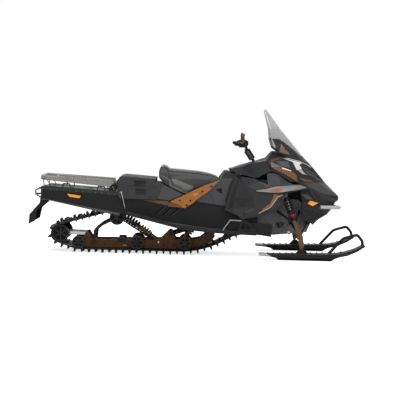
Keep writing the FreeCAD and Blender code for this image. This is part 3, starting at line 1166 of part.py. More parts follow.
def hinge_starts():
    """Where each hinge has the box's knuckle and, beside it, the lid's."""
    rear = BOX_REAR + LID_LENGTH * LID_HINGE_SHARES[0]
    front = BOX_REAR + LID_LENGTH * LID_HINGE_SHARES[1]
    step = LID_KNUCKLE_LENGTH + FREE_GAP / 4
    return [(rear, rear + step), (front, front - step)]


def rounded_room():
    """Column with rounded rear corners that box and lid share."""
    half = BOX_WIDTH / 2
    column = box((BOX_REAR, BOX_REAR + BOX_LENGTH + OVERRUN), (-half, half), (BOX_LOW - OVERRUN, LID_LOW + LID_RISE + OVERRUN))
    rear_edges = [edge for edge in column.Edges
                  if all(abs(vertex.X - BOX_REAR) < RUNNING_GAP for vertex in edge.Vertexes)
                  and abs(edge.Vertexes[0].Z - edge.Vertexes[1].Z) > BOX_CORNER]
    return column.makeFillet(BOX_CORNER, rear_edges)


def cargo_box():
    """Open-topped box that sits on the deck, its side skirts hanging over the tunnel."""
    half = BOX_WIDTH / 2
    body = plate(box_outline(), -half, half)
    rear, front = BOX_REAR + BOX_WALL * 2, BOX_REAR + LID_LENGTH
    floor_rear, floor_front = deck_z(rear) + BOX_WALL, deck_z(front) + BOX_WALL
    foot = box_outline()[1][0] + BOX_WALL * 1.3
    inner_half = half - BOX_WALL
    inside = plate([(foot, floor_rear), (front - BOX_WALL, floor_front), (front - BOX_WALL, LID_LOW + LID_RISE),
                    (rear, LID_LOW + LID_RISE)], -inner_half, inner_half)
    over = plate([(BOX_REAR - OVERRUN, LID_LOW + OVERRUN * 0.5), (front + RUNNING_GAP, LID_LOW - RUNNING_GAP),
                  (front + RUNNING_GAP, LID_LOW + LID_RISE * 2), (BOX_REAR - OVERRUN, LID_LOW + LID_RISE * 2)],
                 -half - OVERRUN, half + OVERRUN)
    tunnel_half = TUNNEL_WIDTH / 2 + SEAT_GAP
    seat_on = plate([(BOX_REAR - OVERRUN, deck_z(BOX_REAR - OVERRUN) + SEAT_GAP),
                     (BOX_REAR + BOX_LENGTH + OVERRUN, deck_z(BOX_REAR + BOX_LENGTH + OVERRUN) + SEAT_GAP),
                     (BOX_REAR + BOX_LENGTH + OVERRUN, BOX_LOW - OVERRUN), (BOX_REAR - OVERRUN, BOX_LOW - OVERRUN)],
                    -tunnel_half, tunnel_half)
    body = body.cut(inside).cut(over).cut(seat_on).common(rounded_room())
    for x_from, x_to, z_from, z_to, deep in BOX_POCKETS:
        pocket = box((BOX_REAR + x_from, BOX_REAR + x_to), (-half - OVERRUN, BOX_POCKET * deep - half),
                     (BOX_LOW + z_from, BOX_LOW + z_to))
        body = body.cut(pair(pocket))
    y, z = lid_axis()
    for own, other in hinge_starts():
        body = body.fuse(hinge_piece(own, LID_KNUCKLE_LENGTH, -1))
        start = min(own, other)
        length = abs(other - own) + LID_KNUCKLE_LENGTH
        body = body.fuse(Part.makeCylinder(LID_PIN_R, length, V(start, y, z), V(1, 0, 0)))
    return body


def cargo_box_lid():
    half = BOX_WIDTH / 2
    outline = spread(LID_SHARES, BOX_REAR, LID_LOW, LID_LENGTH, LID_RISE)
    body = plate(outline, -half, half)
    hollow = plate([(BOX_REAR + LID_LENGTH * 0.1, LID_LOW - OVERRUN), (BOX_REAR + LID_LENGTH - LID_WALL, LID_LOW - OVERRUN),
                    (BOX_REAR + LID_LENGTH - LID_WALL, LID_LOW + LID_RISE * 0.7),
                    (BOX_REAR + LID_LENGTH * 0.2, LID_LOW + LID_RISE - LID_WALL),
                    (BOX_REAR + LID_LENGTH * 0.1, LID_LOW + LID_RISE * 0.7)], LID_WALL - half, half - LID_WALL)
    latch = box((BOX_REAR + LATCH_PLACE[0], BOX_REAR + LATCH_PLACE[1]), (-half - OVERRUN, BOX_POCKET * 2 - half),
                (LID_LOW + LATCH_PLACE[2], LID_LOW + LATCH_PLACE[3]))
    body = body.cut(hollow).common(rounded_room()).cut(pair(latch))
    y, z = lid_axis()
    for own, other in hinge_starts():
        body = body.fuse(hinge_piece(other, LID_KNUCKLE_LENGTH, 1))
        body = body.cut(Part.makeCylinder(LID_PIN_R + SEAT_GAP, 3 * LID_KNUCKLE_LENGTH,
                                          V(other - LID_KNUCKLE_LENGTH, y, z), V(1, 0, 0)))
    return body


def seat():
    outline = spread(SEAT_SHARES, SEAT_REAR, SEAT_LOW, SEAT_LENGTH, SEAT_RISE)
    middle_z = SEAT_LOW + SEAT_RISE * 0.45
    def crown(share):
        return [(x, middle_z + (z - middle_z) * share if z > middle_z else z) for x, z in outline]
    half = SEAT_WIDTH / 2
    return skin([(-half, crown(0.6)), (-half * 0.8, crown(0.93)), (0, outline), (half * 0.8, crown(0.93)),
                 (half, crown(0.6))])


def seat_base():
    outline = spread(SEAT_SHARES, SEAT_REAR, SEAT_LOW, SEAT_LENGTH, SEAT_RISE)
    under = [outline[-1], outline[-2], outline[-3], outline[-4], outline[-5]]
    top = [(x, z - SEAT_GAP) for x, z in under]
    bottom = [(under[-1][0], deck_z(under[-1][0]) + SEAT_GAP), (under[0][0], deck_z(under[0][0]) + SEAT_GAP)]
    half = SEAT_WIDTH / 2
    return plate(top + bottom, -half, half).cut(box_room(BOX_WIDTH))


# Bodywork

def body_points():
    """Corners of the right-hand bodywork by name."""
    return {name: V(BODY_REAR + a * BODY_LENGTH, b * BODY_HALF, BODY_LOW + c * BODY_RISE)
            for name, (a, b, c) in BODY_POINT_SHARES.items()}


def facet_normal(points, corners):
    first = points[corners[0]]
    normal = V(0, 0, 0)
    for two, three in zip(corners[1:], corners[2:]):
        normal += (points[two] - first).cross(points[three] - first)
    return normal.normalize()


def turned_out(points, facets, middle):
    """Each facet's corners in the order that turns it away from the middle."""
    result = []
    for text in facets:
        corners = text.split()
        centre = V(0, 0, 0)
        for name in corners:
            centre += points[name] * (1 / len(corners))
        away = facet_normal(points, corners).dot(centre - middle) > 0
        result.append(corners if away else [corners[0]] + corners[:0:-1])
    return result


def under_skin(points, facets):
    """Each corner's twin on the sheet's inner side, one wall away; the middle line stays in its plane."""
    normals = {}
    for corners in facets:
        normal = facet_normal(points, corners)
        for name in corners:
            normals[name] = normals.get(name, V(0, 0, 0)) + normal
    inner = {}
    for name, normal in normals.items():
        if points[name].y == 0:
            normal.y = 0
        inner[name] = points[name] - normal.normalize() * SKIN_WALL
    return inner


def facet_solid(outer, inner, facets):
    """Solid between a net of facets, its twin and the walls along the net's open edges."""
    triangles = [(corners[0], two, three) for corners in facets for two, three in zip(corners[1:], corners[2:])]
    rings = [[outer[name] for name in triangle] for triangle in triangles]
    rings += [[inner[name] for name in reversed(triangle)] for triangle in triangles]
    edges = {edge for triangle in triangles for edge in zip(triangle, triangle[1:] + triangle[:1])}
    for start, end in sorted(edges):
        if (end, start) in edges:
            continue
        if start < end:
            rings += [[outer[end], outer[start], inner[end]], [outer[start], inner[start], inner[end]]]
        else:
            rings += [[outer[end], outer[start], inner[start]], [outer[end], inner[start], inner[end]]]
    shell = Part.makeShell([Part.Face(Part.makePolygon(ring + ring[:1])) for ring in rings])
    shell.sewShape()
    solid = Part.Solid(shell)
    if solid.Volume < 0:
        solid.reverse()
    return solid


def whole(right):
    """Right-hand half joined to its left-hand twin along the middle."""
    return right.fuse(mirrored(right))


def skin_sheets():
    """Hood, lamps, lamp blade and nose as sheets that share their walls."""
    points = body_points()
    middle = V(BODY_REAR + BODY_LENGTH * 0.57, 0, BODY_LOW + BODY_RISE * 0.54)
    nets = {name: turned_out(points, facets, middle) for name, facets in SKIN_FACETS.items()}
    inner = under_skin(points, sum(nets.values(), []))
    sheets = {name: facet_solid(points, inner, net) for name, net in nets.items()}
    return {name: whole(sheet) if name in ("hood", "nose") else pair(sheet) for name, sheet in sheets.items()}


def under_hood():
    """Room below the hood's upper facets."""
    points = body_points()
    net = turned_out(points, SKIN_FACETS["hood"][:8], V(BODY_REAR, 0, -BODY_LENGTH * 9))
    low = {name: V(point.x, point.y, BODY_LOW) for name, point in points.items()}
    return whole(facet_solid(points, low, net))


def side_relief(facets, inner_y):
    """Panels with a faceted outer side and a flat inner one."""
    points = body_points()
    flat = {name: V(point.x, -inner_y, point.z) for name, point in points.items()}
    net = turned_out(points, facets, V(0, BODY_LENGTH * 9, 0))
    return pair(facet_solid(points, flat, net))


def screen(grow):
    """Thin curved sheet wrapped round towards its side edges, grown on either face."""
    rings = []
    for z_share, x_middle, x_edge, half_share in SCREEN_SHARES:
        z = SCREEN_LOW + z_share * SCREEN_RISE
        middle = SCREEN_REAR + x_middle * SCREEN_LENGTH
        edge = SCREEN_REAR + x_edge * SCREEN_LENGTH
        half = half_share * SCREEN_HALF
        back = SCREEN_SHEET + grow
        outer = Part.Arc(V(edge + grow, -half - grow, z), V(middle + grow, 0, z), V(edge + grow, half + grow, z)).toShape()
        inner = Part.Arc(V(edge - back, half - grow, z), V(middle - back, 0, z), V(edge - back, grow - half, z)).toShape()
        ends = [Part.makeLine(V(edge + grow, half + grow, z), V(edge - back, half - grow, z)),
                Part.makeLine(V(edge - back, grow - half, z), V(edge + grow, -half - grow, z))]
        rings.append(Part.Wire([outer, ends[0], inner, ends[1]]))
    return Part.makeLoft(rings, True, True)


def screen_foot():
    """Room below the line where the clear screen rises out of its black surround."""
    return plate(spread(SCREEN_TRIM_SHARES, SCREEN_REAR, SCREEN_LOW, SCREEN_LENGTH, SCREEN_RISE), -BODY_HALF, BODY_HALF)


def side_pair(shares, place, y_from, y_to):
    """Right-hand plate of a side outline and its left-hand twin."""
    x, z, length, height = place
    return pair(plate(spread(shares, x, z, length, height), -y_to, -y_from))


def side_covers():
    """Panels that fill the corner between cargo box, seat and tunnel."""
    body = side_pair(COVER_SHARES, COVER_PLACE, SEAT_WIDTH / 2 + SEAT_GAP * 2, COVER_Y)
    return body.cut(under_deck(SEAT_GAP)).cut(plate(box_outline(), -BOX_WIDTH, BOX_WIDTH))


def shoulder_room():
    """Room outside the sloping shoulders of the tank."""
    top = CONSOLE_PLACE[1] + CONSOLE_PLACE[3]
    inner, outer = SHOULDER_IN, BODY_HALF
    drop = (outer - inner) * SHOULDER_SLOPE
    corners = [V(BODY_REAR - BODY_HALF, -inner, top), V(BODY_REAR - BODY_HALF, -outer, top),
               V(BODY_REAR - BODY_HALF, -outer, top - drop)]
    return pair(Part.Face(Part.makePolygon(corners + corners[:1])).extrude(V(BODY_LENGTH, 0, 0)))


def console():
    """Tank block between seat and hood, with sloping shoulders and the bore of the steering post."""
    top = spread(CONSOLE_SHARES, *CONSOLE_PLACE)
    rear, front = top[0][0], top[-1][0]
    points = [(rear, deck_z(rear) + SEAT_GAP)] + top + [(front, deck_z(front) + SEAT_GAP)]
    body = plate(points, SEAT_GAP - TUNNEL_OUT, TUNNEL_OUT - SEAT_GAP).cut(shoulder_room())
    return body.cut(rod(post_point(-POST_DEEP * 4, 0), post_point(POST_DEEP, 0), POST_R + SEAT_GAP))


def tank_covers():
    """Panels beside the fuel tank, from the brace to the footwell."""
    body = side_pair(TANK_SHARES, TANK_PLACE, SEAT_WIDTH / 2 + SEAT_GAP * 2, COVER_Y)
    body = body.cut(under_deck(SEAT_GAP)).cut(console()).cut(shoulder_room())
    return body.cut(side_relief(KNEE_FACETS, TUNNEL_OUT))


def lower_panels():
    body = plate(spread(LOWER_SHARES, LOWER_REAR, LOWER_LOW, LOWER_LENGTH, LOWER_RISE), -KNEE_Y, -TUNNEL_OUT)
    board = spread(BOARD_SHARES, BOARD_REAR, TUNNEL_LOW, BOARD_LENGTH, BOARD_RISE)
    above = [(x, z + SEAT_GAP) for x, z in board]
    below = [(x, z - BOARD_SHEET - SEAT_GAP) for x, z in reversed(board)]
    return pair(body.cut(plate(above + below, -BOARD_EDGE_Y, 0)))


def tail_lamp():
    x = TUNNEL_REAR - SEAT_GAP
    z = TUNNEL_LOW + TUNNEL_RISE * 0.85
    return box((x - LAMP_DEEP, x), (-LAMP_WIDE / 2, LAMP_WIDE / 2), (z - LAMP_TALL / 2, z + LAMP_TALL / 2))


def tail_plate():
    """Plate that closes the tunnel's rear above the track."""
    half = TUNNEL_WIDTH / 2 - TUNNEL_SHEET
    low = FLAP_LOW + FLAP_RISE + SEAT_GAP
    return box((TUNNEL_REAR, TUNNEL_REAR + TUNNEL_SHEET), (-half, half), (low, TUNNEL_LOW + TUNNEL_RISE * 0.89))


def tow_hitch():
    """Receiver with the bore of the tow pin."""
    x = TUNNEL_REAR
    z = FLAP_LOW + FLAP_RISE + SEAT_GAP
    tongue = box((x - HITCH_LENGTH, x), (-HITCH_WIDE / 2, HITCH_WIDE / 2), (z, z + HITCH_THICK))
    head = Part.makeCylinder(HITCH_WIDE / 2, HITCH_THICK, V(x - HITCH_LENGTH, 0, z))
    bore = Part.makeCylinder(HITCH_BORE_R, HITCH_THICK, V(x - HITCH_LENGTH, 0, z))
    return tongue.fuse(head).cut(bore)


def front_bumper(radius):
    """Tube round the nose, or the room it takes."""
    half = [V(BUMPER_REAR, -BUMPER_HALF, BUMPER_Z + BUMPER_R * 0.5), V(BUMPER_FRONT, -BUMPER_HALF * 0.6, BUMPER_Z)]
    return tube(half + [V(p.x, -p.y, p.z) for p in reversed(half)], radius, BUMPER_R * 4)


def anchor_loops():
    """Wire loops on the deck for lashing cargo."""
    loops = []
    for x in ANCHOR_X:
        for side in (-1, 1):
            y = side * ANCHOR_Y
            foot = [V(x - ANCHOR_HALF, y, deck_z(x - ANCHOR_HALF) - ANCHOR_R),
                    V(x - ANCHOR_HALF * 0.8, y, deck_z(x) + ANCHOR_TALL),
                    V(x + ANCHOR_HALF * 0.8, y, deck_z(x) + ANCHOR_TALL),
                    V(x + ANCHOR_HALF, y, deck_z(x + ANCHOR_HALF) - ANCHOR_R)]
            loops.append(tube(foot, ANCHOR_R, ANCHOR_R * 2))
    return Part.makeCompound([loop.cut(under_deck(SEAT_GAP)) for loop in loops])


def markers(nose):
    """Reflectors on the tunnel's sides and on the nose."""
    rear = plate([(TUNNEL_REAR + a, TUNNEL_LOW + b) for a, b in REAR_MARKER], -TUNNEL_OUT - MARKER_THICK, -TUNNEL_OUT)
    front = plate([(BODY_REAR + a, BODY_LOW + b) for a, b in FRONT_MARKER], -BODY_HALF, 0)
    raised = nose.translated(V(0, -MARKER_THICK, 0))
    front = front.common(raised).cut(nose)
    return Part.makeCompound([rear, mirrored(rear), front, mirrored(front)])


def engine():
    x = ENGINE_REAR
    z = deck_z(x) + SEAT_GAP * 3
    return box((x, x + ENGINE_LENGTH), (-ENGINE_WIDTH / 2, ENGINE_WIDTH / 2), (z, z + ENGINE_HEIGHT))


def build():
    os.makedirs("parts", exist_ok=True)
    save("tunnel", tunnel())
    save("running_boards", pair(running_board()))
    save("snow_flap", snow_flap())
    save("rear_rack", rear_rack())
    save("rack_brackets", rack_brackets())
    save("rear_bumper", rear_bumper())
    save("toe_straps", toe_strap())
    save("toe_brackets", toe_bracket())
    save("tie_down_loops", anchor_loops())
    save("tail_lamp", tail_lamp())
    save("tow_hitch", tow_hitch())
    save("track", track())
    save("track_wheels", track_wheels())
    save("rails", pair(rail()))
    save("rail_sliders", pair(rail_slider()))
    save("axle_adjusters", pair(axle_carrier()))
    save("rear_arm", rear_arm())
    save("rear_links", rear_links())
    save("front_arm", front_arm())
    save("rear_shock", rail_shock(SHOCK_LOW_X, SHOCK_LOW_Z, SHOCK_TOP_X, SHOCK_TOP_Z, REAR_SPRING_SHARE))
    save("centre_shock", rail_shock(MID_SHOCK_LOW_X, MID_SHOCK_LOW_Z, FRONT_TOP_X - SHOCK_R * 2,
                                    FRONT_TOP_Z + SHOCK_R, FRONT_SPRING_SHARE))
    save("drive_axle", drive_axle())
    save("front_frame", front_frame())
    save("lower_wishbones", pair(lower_wishbone()))
    save("upper_wishbones", pair(wishbone(HIGH_IN_X, HIGH_IN_Z, BALL_SPREAD)))
    save("front_shocks", pair(front_shock()))
    for side, turn in (("right", lambda s: s), ("left", mirrored)):
        save("spindle_" + side, turn(spindle()))
        save("tie_rod_" + side, turn(tie_rod()))
        save("ski_" + side, turn(ski()))
        save("ski_loop_" + side, turn(ski_loop()))
    save("steering_post", steering_post())
    save("handlebar", bar_tube(BAR_R))
    save("bar_controls", bar_controls())
    save("grips", grips())
    save("cargo_box", cargo_box())
    save("cargo_box_lid", cargo_box_lid())
    save("seat", seat())
    save("seat_base", seat_base())
    save("side_covers", side_covers())
    save("side_braces", side_pair(BRACE_SHARES, BRACE_PLACE, COVER_Y + SEAT_GAP, COVER_Y + BRACE_THICK))
    save("tank_covers", tank_covers())
    save("console", console())
    save("knee_panels", side_relief(KNEE_FACETS, TUNNEL_OUT))
    save("lower_panels", lower_panels())
    save("side_panels", side_relief(SIDE_FACETS, PANEL_IN))
    save("vent_panels", side_relief(VENT_FACETS, PANEL_IN))
    sheets = skin_sheets()
    post_hole = rod(post_point(-POST_DEEP * 2, 0), post_point(POST_DEEP, 0), POST_R + SEAT_GAP)
    save("hood", sheets["hood"].cut(post_hole))
    save("headlamps", sheets["headlamps"])
    save("lamp_trim", sheets["lamp_trim"])
    nose = sheets["nose"].cut(front_bumper(BUMPER_R + SEAT_GAP))
    save("nose", nose)
    save("markers", markers(nose))
    save("front_bumper", front_bumper(BUMPER_R))
    body = under_hood()
    save("windshield", screen(0).cut(body).cut(screen_foot()))
    save("windshield_trim", screen(TRIM_GROW).cut(body).common(screen_foot()))
    save("engine", engine())


build()
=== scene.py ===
import bpy
import bmesh
import math
from mathutils import Euler, Matrix, Vector
from mathutils.bvhtree import BVHTree


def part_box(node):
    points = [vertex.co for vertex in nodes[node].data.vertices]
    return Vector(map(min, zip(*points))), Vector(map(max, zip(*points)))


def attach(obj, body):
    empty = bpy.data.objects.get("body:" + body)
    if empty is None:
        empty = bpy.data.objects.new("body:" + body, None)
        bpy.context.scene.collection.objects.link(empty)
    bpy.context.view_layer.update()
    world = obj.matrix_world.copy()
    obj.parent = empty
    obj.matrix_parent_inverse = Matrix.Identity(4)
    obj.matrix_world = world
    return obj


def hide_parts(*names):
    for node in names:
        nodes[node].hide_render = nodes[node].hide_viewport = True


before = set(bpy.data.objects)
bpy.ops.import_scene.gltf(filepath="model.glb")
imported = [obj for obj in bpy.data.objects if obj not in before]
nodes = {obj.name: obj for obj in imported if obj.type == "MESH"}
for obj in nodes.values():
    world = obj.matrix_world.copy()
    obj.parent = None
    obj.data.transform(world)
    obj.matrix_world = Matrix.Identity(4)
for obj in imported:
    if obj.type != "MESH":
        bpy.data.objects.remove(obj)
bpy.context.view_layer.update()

# View and light. The machine stands in profile with its nose to the right, seen by a long lens from a little
# above the seat. A large soft lamp overhead, two by the camera and one behind give a plain studio level.
CAMERA_PLACE = (0.0425, -13.174, 1.350)
CAMERA_DOWN = math.radians(3.6)
CAMERA_ROLL = math.radians(1.4)
CAMERA_LENS = 120.96
FLOOR_SIZE = 60.0
FLOOR_SHADE = 0.93
FLOOR_LIFT = 0.72
AMBIENT = 0.30
LAMPS = (((0.4, -1.6, 5.0), (0.0, 0.0, 0.4), 4.5, 215.0),
         ((-3.0, -7.5, 3.0), (-0.2, 0.0, 0.5), 3.5, 110.0),
         ((4.2, -4.5, 2.4), (0.8, 0.0, 0.6), 2.5, 90.0),
         ((0.0, 4.5, 3.8), (0.0, 0.0, 0.6), 4.0, 150.0))

scene = bpy.context.scene
scene.view_settings.view_transform = "Standard"
camera_data = bpy.data.cameras.new("camera")
camera_data.lens = CAMERA_LENS
camera = bpy.data.objects.new("camera", camera_data)
turn = Euler((math.radians(90.0) - CAMERA_DOWN, 0.0, 0.0)).to_matrix() @ Matrix.Rotation(CAMERA_ROLL, 3, "Z")
camera.matrix_world = Matrix.Translation(CAMERA_PLACE) @ turn.to_4x4()
scene.collection.objects.link(camera)
scene.camera = camera

for number, (place, target, size, power) in enumerate(LAMPS):
    lamp_data = bpy.data.lights.new("lamp_%d" % number, "AREA")
    lamp_data.size = size
    lamp_data.energy = power
    lamp = bpy.data.objects.new("lamp_%d" % number, lamp_data)
    lamp.location = place
    lamp.rotation_euler = (Vector(target) - Vector(place)).to_track_quat("-Z", "Y").to_euler()
    scene.collection.objects.link(lamp)


def feed(tree, socket, value):
    """Links a socket to another one, or sets its value. A colour is given as three numbers."""
    if isinstance(value, bpy.types.NodeSocket):
        tree.links.new(value, socket)
    elif socket.type == "RGBA":
        socket.default_value = tuple(value) + (1.0,)
    else:
        socket.default_value = value


def set_node(tree, node, **values):
    """Feeds a node's sockets, or sets its own values, by name."""
    for name, value in values.items():
        socket = node.inputs.get(name.replace("_", " "))
        if socket is None:
            setattr(node, name, value)
        else:
            feed(tree, socket, value)
    return node


def add_node(tree, kind, **values):
    """New shader node with its values."""
    return set_node(tree, tree.nodes.new("ShaderNode" + kind), **values)


def joined(tree, operation, first, second, kind="Math"):
    """Value of two sockets, or of a socket and a plain value, under one operation."""
    made = add_node(tree, kind, operation=operation)
    feed(tree, made.inputs[0], first)
    feed(tree, made.inputs[1], second)
    return made.outputs["Value"]


def ranged(tree, value, low=0.0, high=1.0, start=0.0, end=1.0):
    """Value that runs from start to end while another one runs from low to high."""
    made = add_node(tree, "MapRange", Value=value, From_Min=low, From_Max=high, To_Min=start, To_Max=end)
    return made.outputs[0]


def new_material(name):
    """Material with nodes, and its tree."""
    material = bpy.data.materials.new(name)
    material.use_nodes = True
    return material, material.node_tree


def new_object(name, shape):
    """Object of a finished shape in the scene."""
    mesh = bpy.data.meshes.new(name)
    shape.to_mesh(mesh)
    shape.free()
    made = bpy.data.objects.new(name, mesh)
    scene.collection.objects.link(made)
    return made


world = bpy.data.worlds.new("studio")
world.use_nodes = True
scene.world = world
tree = world.node_tree
path = add_node(tree, "LightPath")
seen = joined(tree, "MAXIMUM", path.outputs["Is Camera Ray"], path.outputs["Is Transmission Ray"])
seen = joined(tree, "MAXIMUM", seen, path.outputs["Is Glossy Ray"])
set_node(tree, tree.nodes["Background"], Color=(1.0, 1.0, 1.0), Strength=ranged(tree, seen, start=AMBIENT))

shape = bmesh.new()
bmesh.ops.create_grid(shape, x_segments=1, y_segments=1, size=FLOOR_SIZE)
floor = new_object("floor", shape)
floor_paint, tree = new_material("floor")
path = add_node(tree, "LightPath")
set_node(tree, tree.nodes["Principled BSDF"], Base_Color=(FLOOR_SHADE, FLOOR_SHADE, FLOOR_SHADE),
         Roughness=0.9, Specular_IOR_Level=0.0, Emission_Color=(1.0, 1.0, 1.0),
         Emission_Strength=joined(tree, "MULTIPLY", path.outputs["Is Camera Ray"], FLOOR_LIFT))
floor.data.materials.append(floor_paint)


# Tunnel and running boards. Folded aluminium sheet, powder coated satin black, with pressed bands along
# its edges painted lighter as painted highlights, three slots below the brace painted near-black as painted
# shade with painted highlights on their rims, and rows of rivets. Its finish has the grain, worn edges, dust
# and painted areas that most other finishes here share, so they are made with it.
EDGE_SAMPLES = 4
TUNNEL_COLOUR = (0.019, 0.019, 0.020)
# Lighter bands along the tunnel's edges and the slots' rims are painted highlights.
TUNNEL_EDGE_HIGHLIGHT = (0.080, 0.081, 0.082)
TUNNEL_TOP_HIGHLIGHT = (0.036, 0.036, 0.037)
TUNNEL_BROWN = (0.120, 0.070, 0.045)
TUNNEL_SLOTS = (((-385, 389), (-301, 465)), ((-311, 385), (-227, 461)), ((-244, 380), (-153, 456)))
# Near-black in the slots: painted shade.
SLOT_SHADE = (0.005, 0.005, 0.005)
RIVET_RADIUS = 0.0045
RIVET_STEP = 62
RIVET_COUNT = 19
TUNNEL_FALL = 0.0565
BOLT_SUNK = 0.0004
DUST_COLOUR = (0.11, 0.107, 0.10)
COAT_ROUGHNESS = 0.08
ROUGH_SPREAD = 0.08
WORN_WIDTH = 0.0025
PAINT_EDGE = 0.0012


def new_group(name, inputs, outputs):
    """Shader node group with number inputs, and the nodes that hold its inputs and outputs."""
    group = bpy.data.node_groups.new(name, "ShaderNodeTree")
    for label, value in inputs.items():
        socket = group.interface.new_socket(label, in_out="INPUT", socket_type="NodeSocketFloat")
        socket.default_value = value
    for label, kind in outputs.items():
        group.interface.new_socket(label, in_out="OUTPUT", socket_type="NodeSocket" + kind)
    return group, group.nodes.new("NodeGroupInput"), group.nodes.new("NodeGroupOutput")


def noise(tree, scale, detail):
    """Value of a noise on Object coordinates."""
    place = add_node(tree, "TexCoord")
    made = add_node(tree, "TexNoise", Vector=place.outputs["Object"], Scale=scale, Detail=detail)
    return made.outputs["Fac"]


grain_group, given, result = new_group("moulded_grain", {"Scale": 500.0, "Mottle Scale": 9.0},
                                       {"Height": "Float", "Mottle": "Float"})
set_node(grain_group, result, Height=noise(grain_group, given.outputs["Scale"], 3.0),
         Mottle=noise(grain_group, given.outputs["Mottle Scale"], 4.0))

wear_group, given, result = new_group("worn_edge", {"Radius": 0.004, "Amount": 0.5},
                                      {"Mask": "Float", "Normal": "Vector"})
rounded = add_node(wear_group, "Bevel", samples=EDGE_SAMPLES, Radius=given.outputs["Radius"])
surface = add_node(wear_group, "NewGeometry")
along = joined(wear_group, "DOT_PRODUCT", rounded.outputs["Normal"], surface.outputs["Normal"],
               kind="VectorMath")
worn = joined(wear_group, "MULTIPLY", ranged(wear_group, along, 0.995, 0.85),
              ranged(wear_group, noise(wear_group, 26.0, 5.0), 0.38, 0.6))
set_node(wear_group, result, Mask=joined(wear_group, "MULTIPLY", worn, given.outputs["Amount"]),
         Normal=rounded.outputs["Normal"])

dust_group, given, result = new_group("dust", {"Amount": 0.2}, {"Mask": "Float"})
surface = add_node(dust_group, "NewGeometry")
split = add_node(dust_group, "SeparateXYZ", Vector=surface.outputs["Normal"])
lies = joined(dust_group, "MULTIPLY", ranged(dust_group, split.outputs["Z"], -0.2, 1.0),
              ranged(dust_group, noise(dust_group, 7.0, 6.0), 0.4, 0.75))
set_node(dust_group, result, Mask=joined(dust_group, "MULTIPLY", lies, given.outputs["Amount"]))


def use_group(tree, group, **values):
    """Node of a shader group with its values."""
    made = tree.nodes.new("ShaderNodeGroup")
    made.node_tree = group
    return set_node(tree, made, **values)


def mix_colour(tree, factor, first, second):
    """Colour between two, each a socket or three numbers."""
    made = add_node(tree, "Mix", data_type="RGBA")
    for number, value in ((0, factor), (6, first), (7, second)):
        feed(tree, made.inputs[number], value)
    return made.outputs[2]


def side_area(tree, corners):
    """Mask of a convex area of the side view, from its corners in millimetres."""
    place = add_node(tree, "TexCoord")
    middle = Vector((sum(x for x, z in corners), 0.0, sum(z for x, z in corners))) / len(corners)
    inside = None
    for (x, z), (x2, z2) in zip(corners, corners[1:] + corners[:1]):
        inward = Vector((z - z2, 0.0, x2 - x)).normalized()
        if inward.dot(middle - Vector((x, 0.0, z))) < 0:
            inward = -inward
        across = joined(tree, "DOT_PRODUCT", place.outputs["Object"], inward, kind="VectorMath")
        depth = joined(tree, "SUBTRACT", across, (inward.x * x + inward.z * z) / 1000.0)
        inside = depth if inside is None else joined(tree, "MINIMUM", inside, depth)
    return ranged(tree, inside, 0.0, PAINT_EDGE)


def side_mask(tree, areas):
    """Mask of several areas of the side view together."""
    mask = side_area(tree, areas[0])
    for area in areas[1:]:
        mask = joined(tree, "MAXIMUM", mask, side_area(tree, area))
    return mask


def stripe(points, width):
    """Areas of a line of one width through points of the side view."""
    areas = []
    for (x, z), (x2, z2) in zip(points, points[1:]):
        aside = Vector((z - z2, x2 - x)).normalized() * width / 2
        areas.append([(x + aside.x, z + aside.y), (x2 + aside.x, z2 + aside.y), (x2 - aside.x, z2 - aside.y),
                      (x - aside.x, z - aside.y)])
    return areas


def finish(name, colour, rough, metallic=0.0, shine=0.08, grain=500.0, depth=0.0002, mottle=0.12, wear=0.3,
           edge_colour=(0.16, 0.16, 0.165), dust=0.1, coat=0.0, paint=()):
    """Material of a finish: mottled colour, painted areas, worn edges, a little dust and its own grain."""
    material, tree = new_material(name)
    moulded = use_group(tree, grain_group, Scale=grain)
    worn = use_group(tree, wear_group, Radius=WORN_WIDTH, Amount=wear)
    dusty = use_group(tree, dust_group, Amount=dust)
    dark = [c * (1.0 - mottle) for c in colour]
    light = [min(1.0, c * (1.0 + mottle)) for c in colour]
    shade = mix_colour(tree, moulded.outputs["Mottle"], dark, light)
    for paint_colour, areas in paint:
        shade = mix_colour(tree, side_mask(tree, areas), shade, paint_colour)
    shade = mix_colour(tree, worn.outputs["Mask"], shade, edge_colour)
    shade = mix_colour(tree, dusty.outputs["Mask"], shade, DUST_COLOUR)
    rougher = ranged(tree, moulded.outputs["Mottle"], 0.3, 0.7, max(0.02, rough - ROUGH_SPREAD),
                     min(1.0, rough + ROUGH_SPREAD))
    bump = add_node(tree, "Bump", Height=moulded.outputs["Height"], Normal=worn.outputs["Normal"],
                    Distance=depth)
    set_node(tree, tree.nodes["Principled BSDF"], Base_Color=shade, Roughness=rougher, Metallic=metallic,
             Specular_IOR_Level=shine, Coat_Weight=coat, Coat_Roughness=COAT_ROUGHNESS,
             Normal=bump.outputs["Normal"])
    return material


def dress(material, *names):
    """CAD pieces that keep their shape take this finish."""
    for name in names:
        mesh = nodes[name].data
        mesh.materials.clear()
        mesh.materials.append(material)


def new_piece(name, shape, material, body):
    """Object of a finished shape that rides on its body."""
    bmesh.ops.recalc_face_normals(shape, faces=shape.faces)
    piece = new_object(name, shape)
    piece.data.materials.append(material)
    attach(piece, body)
    return piece


def facing(place, outward):
    """Placement at a point with its own Z turned outward."""
    return Matrix.Translation(place) @ Vector(outward).to_track_quat("Z", "Y").to_matrix().to_4x4()


surfaces = {}


def faces_of(node):
    """A CAD piece's faces, ready for rays."""
    if node not in surfaces:
        source = bmesh.new()
        source.from_mesh(nodes[node].data)
        surfaces[node] = BVHTree.FromBMesh(source)
        source.free()
    return surfaces[node]


def spots_on(node, places):
    """Points and outward normals on both sides of a CAD piece, at places of the side view in millimetres."""
    spots = []
    for x, z in places:
        for side in (-1, 1):
            start = Vector((x / 1000, side * 2.0, z / 1000))
            spot, normal = faces_of(node).ray_cast(start, Vector((0.0, -side, 0.0)))[:2]
            if spot is not None:
                spots.append((spot, -normal if normal.y * side < 0 else normal))
    return spots


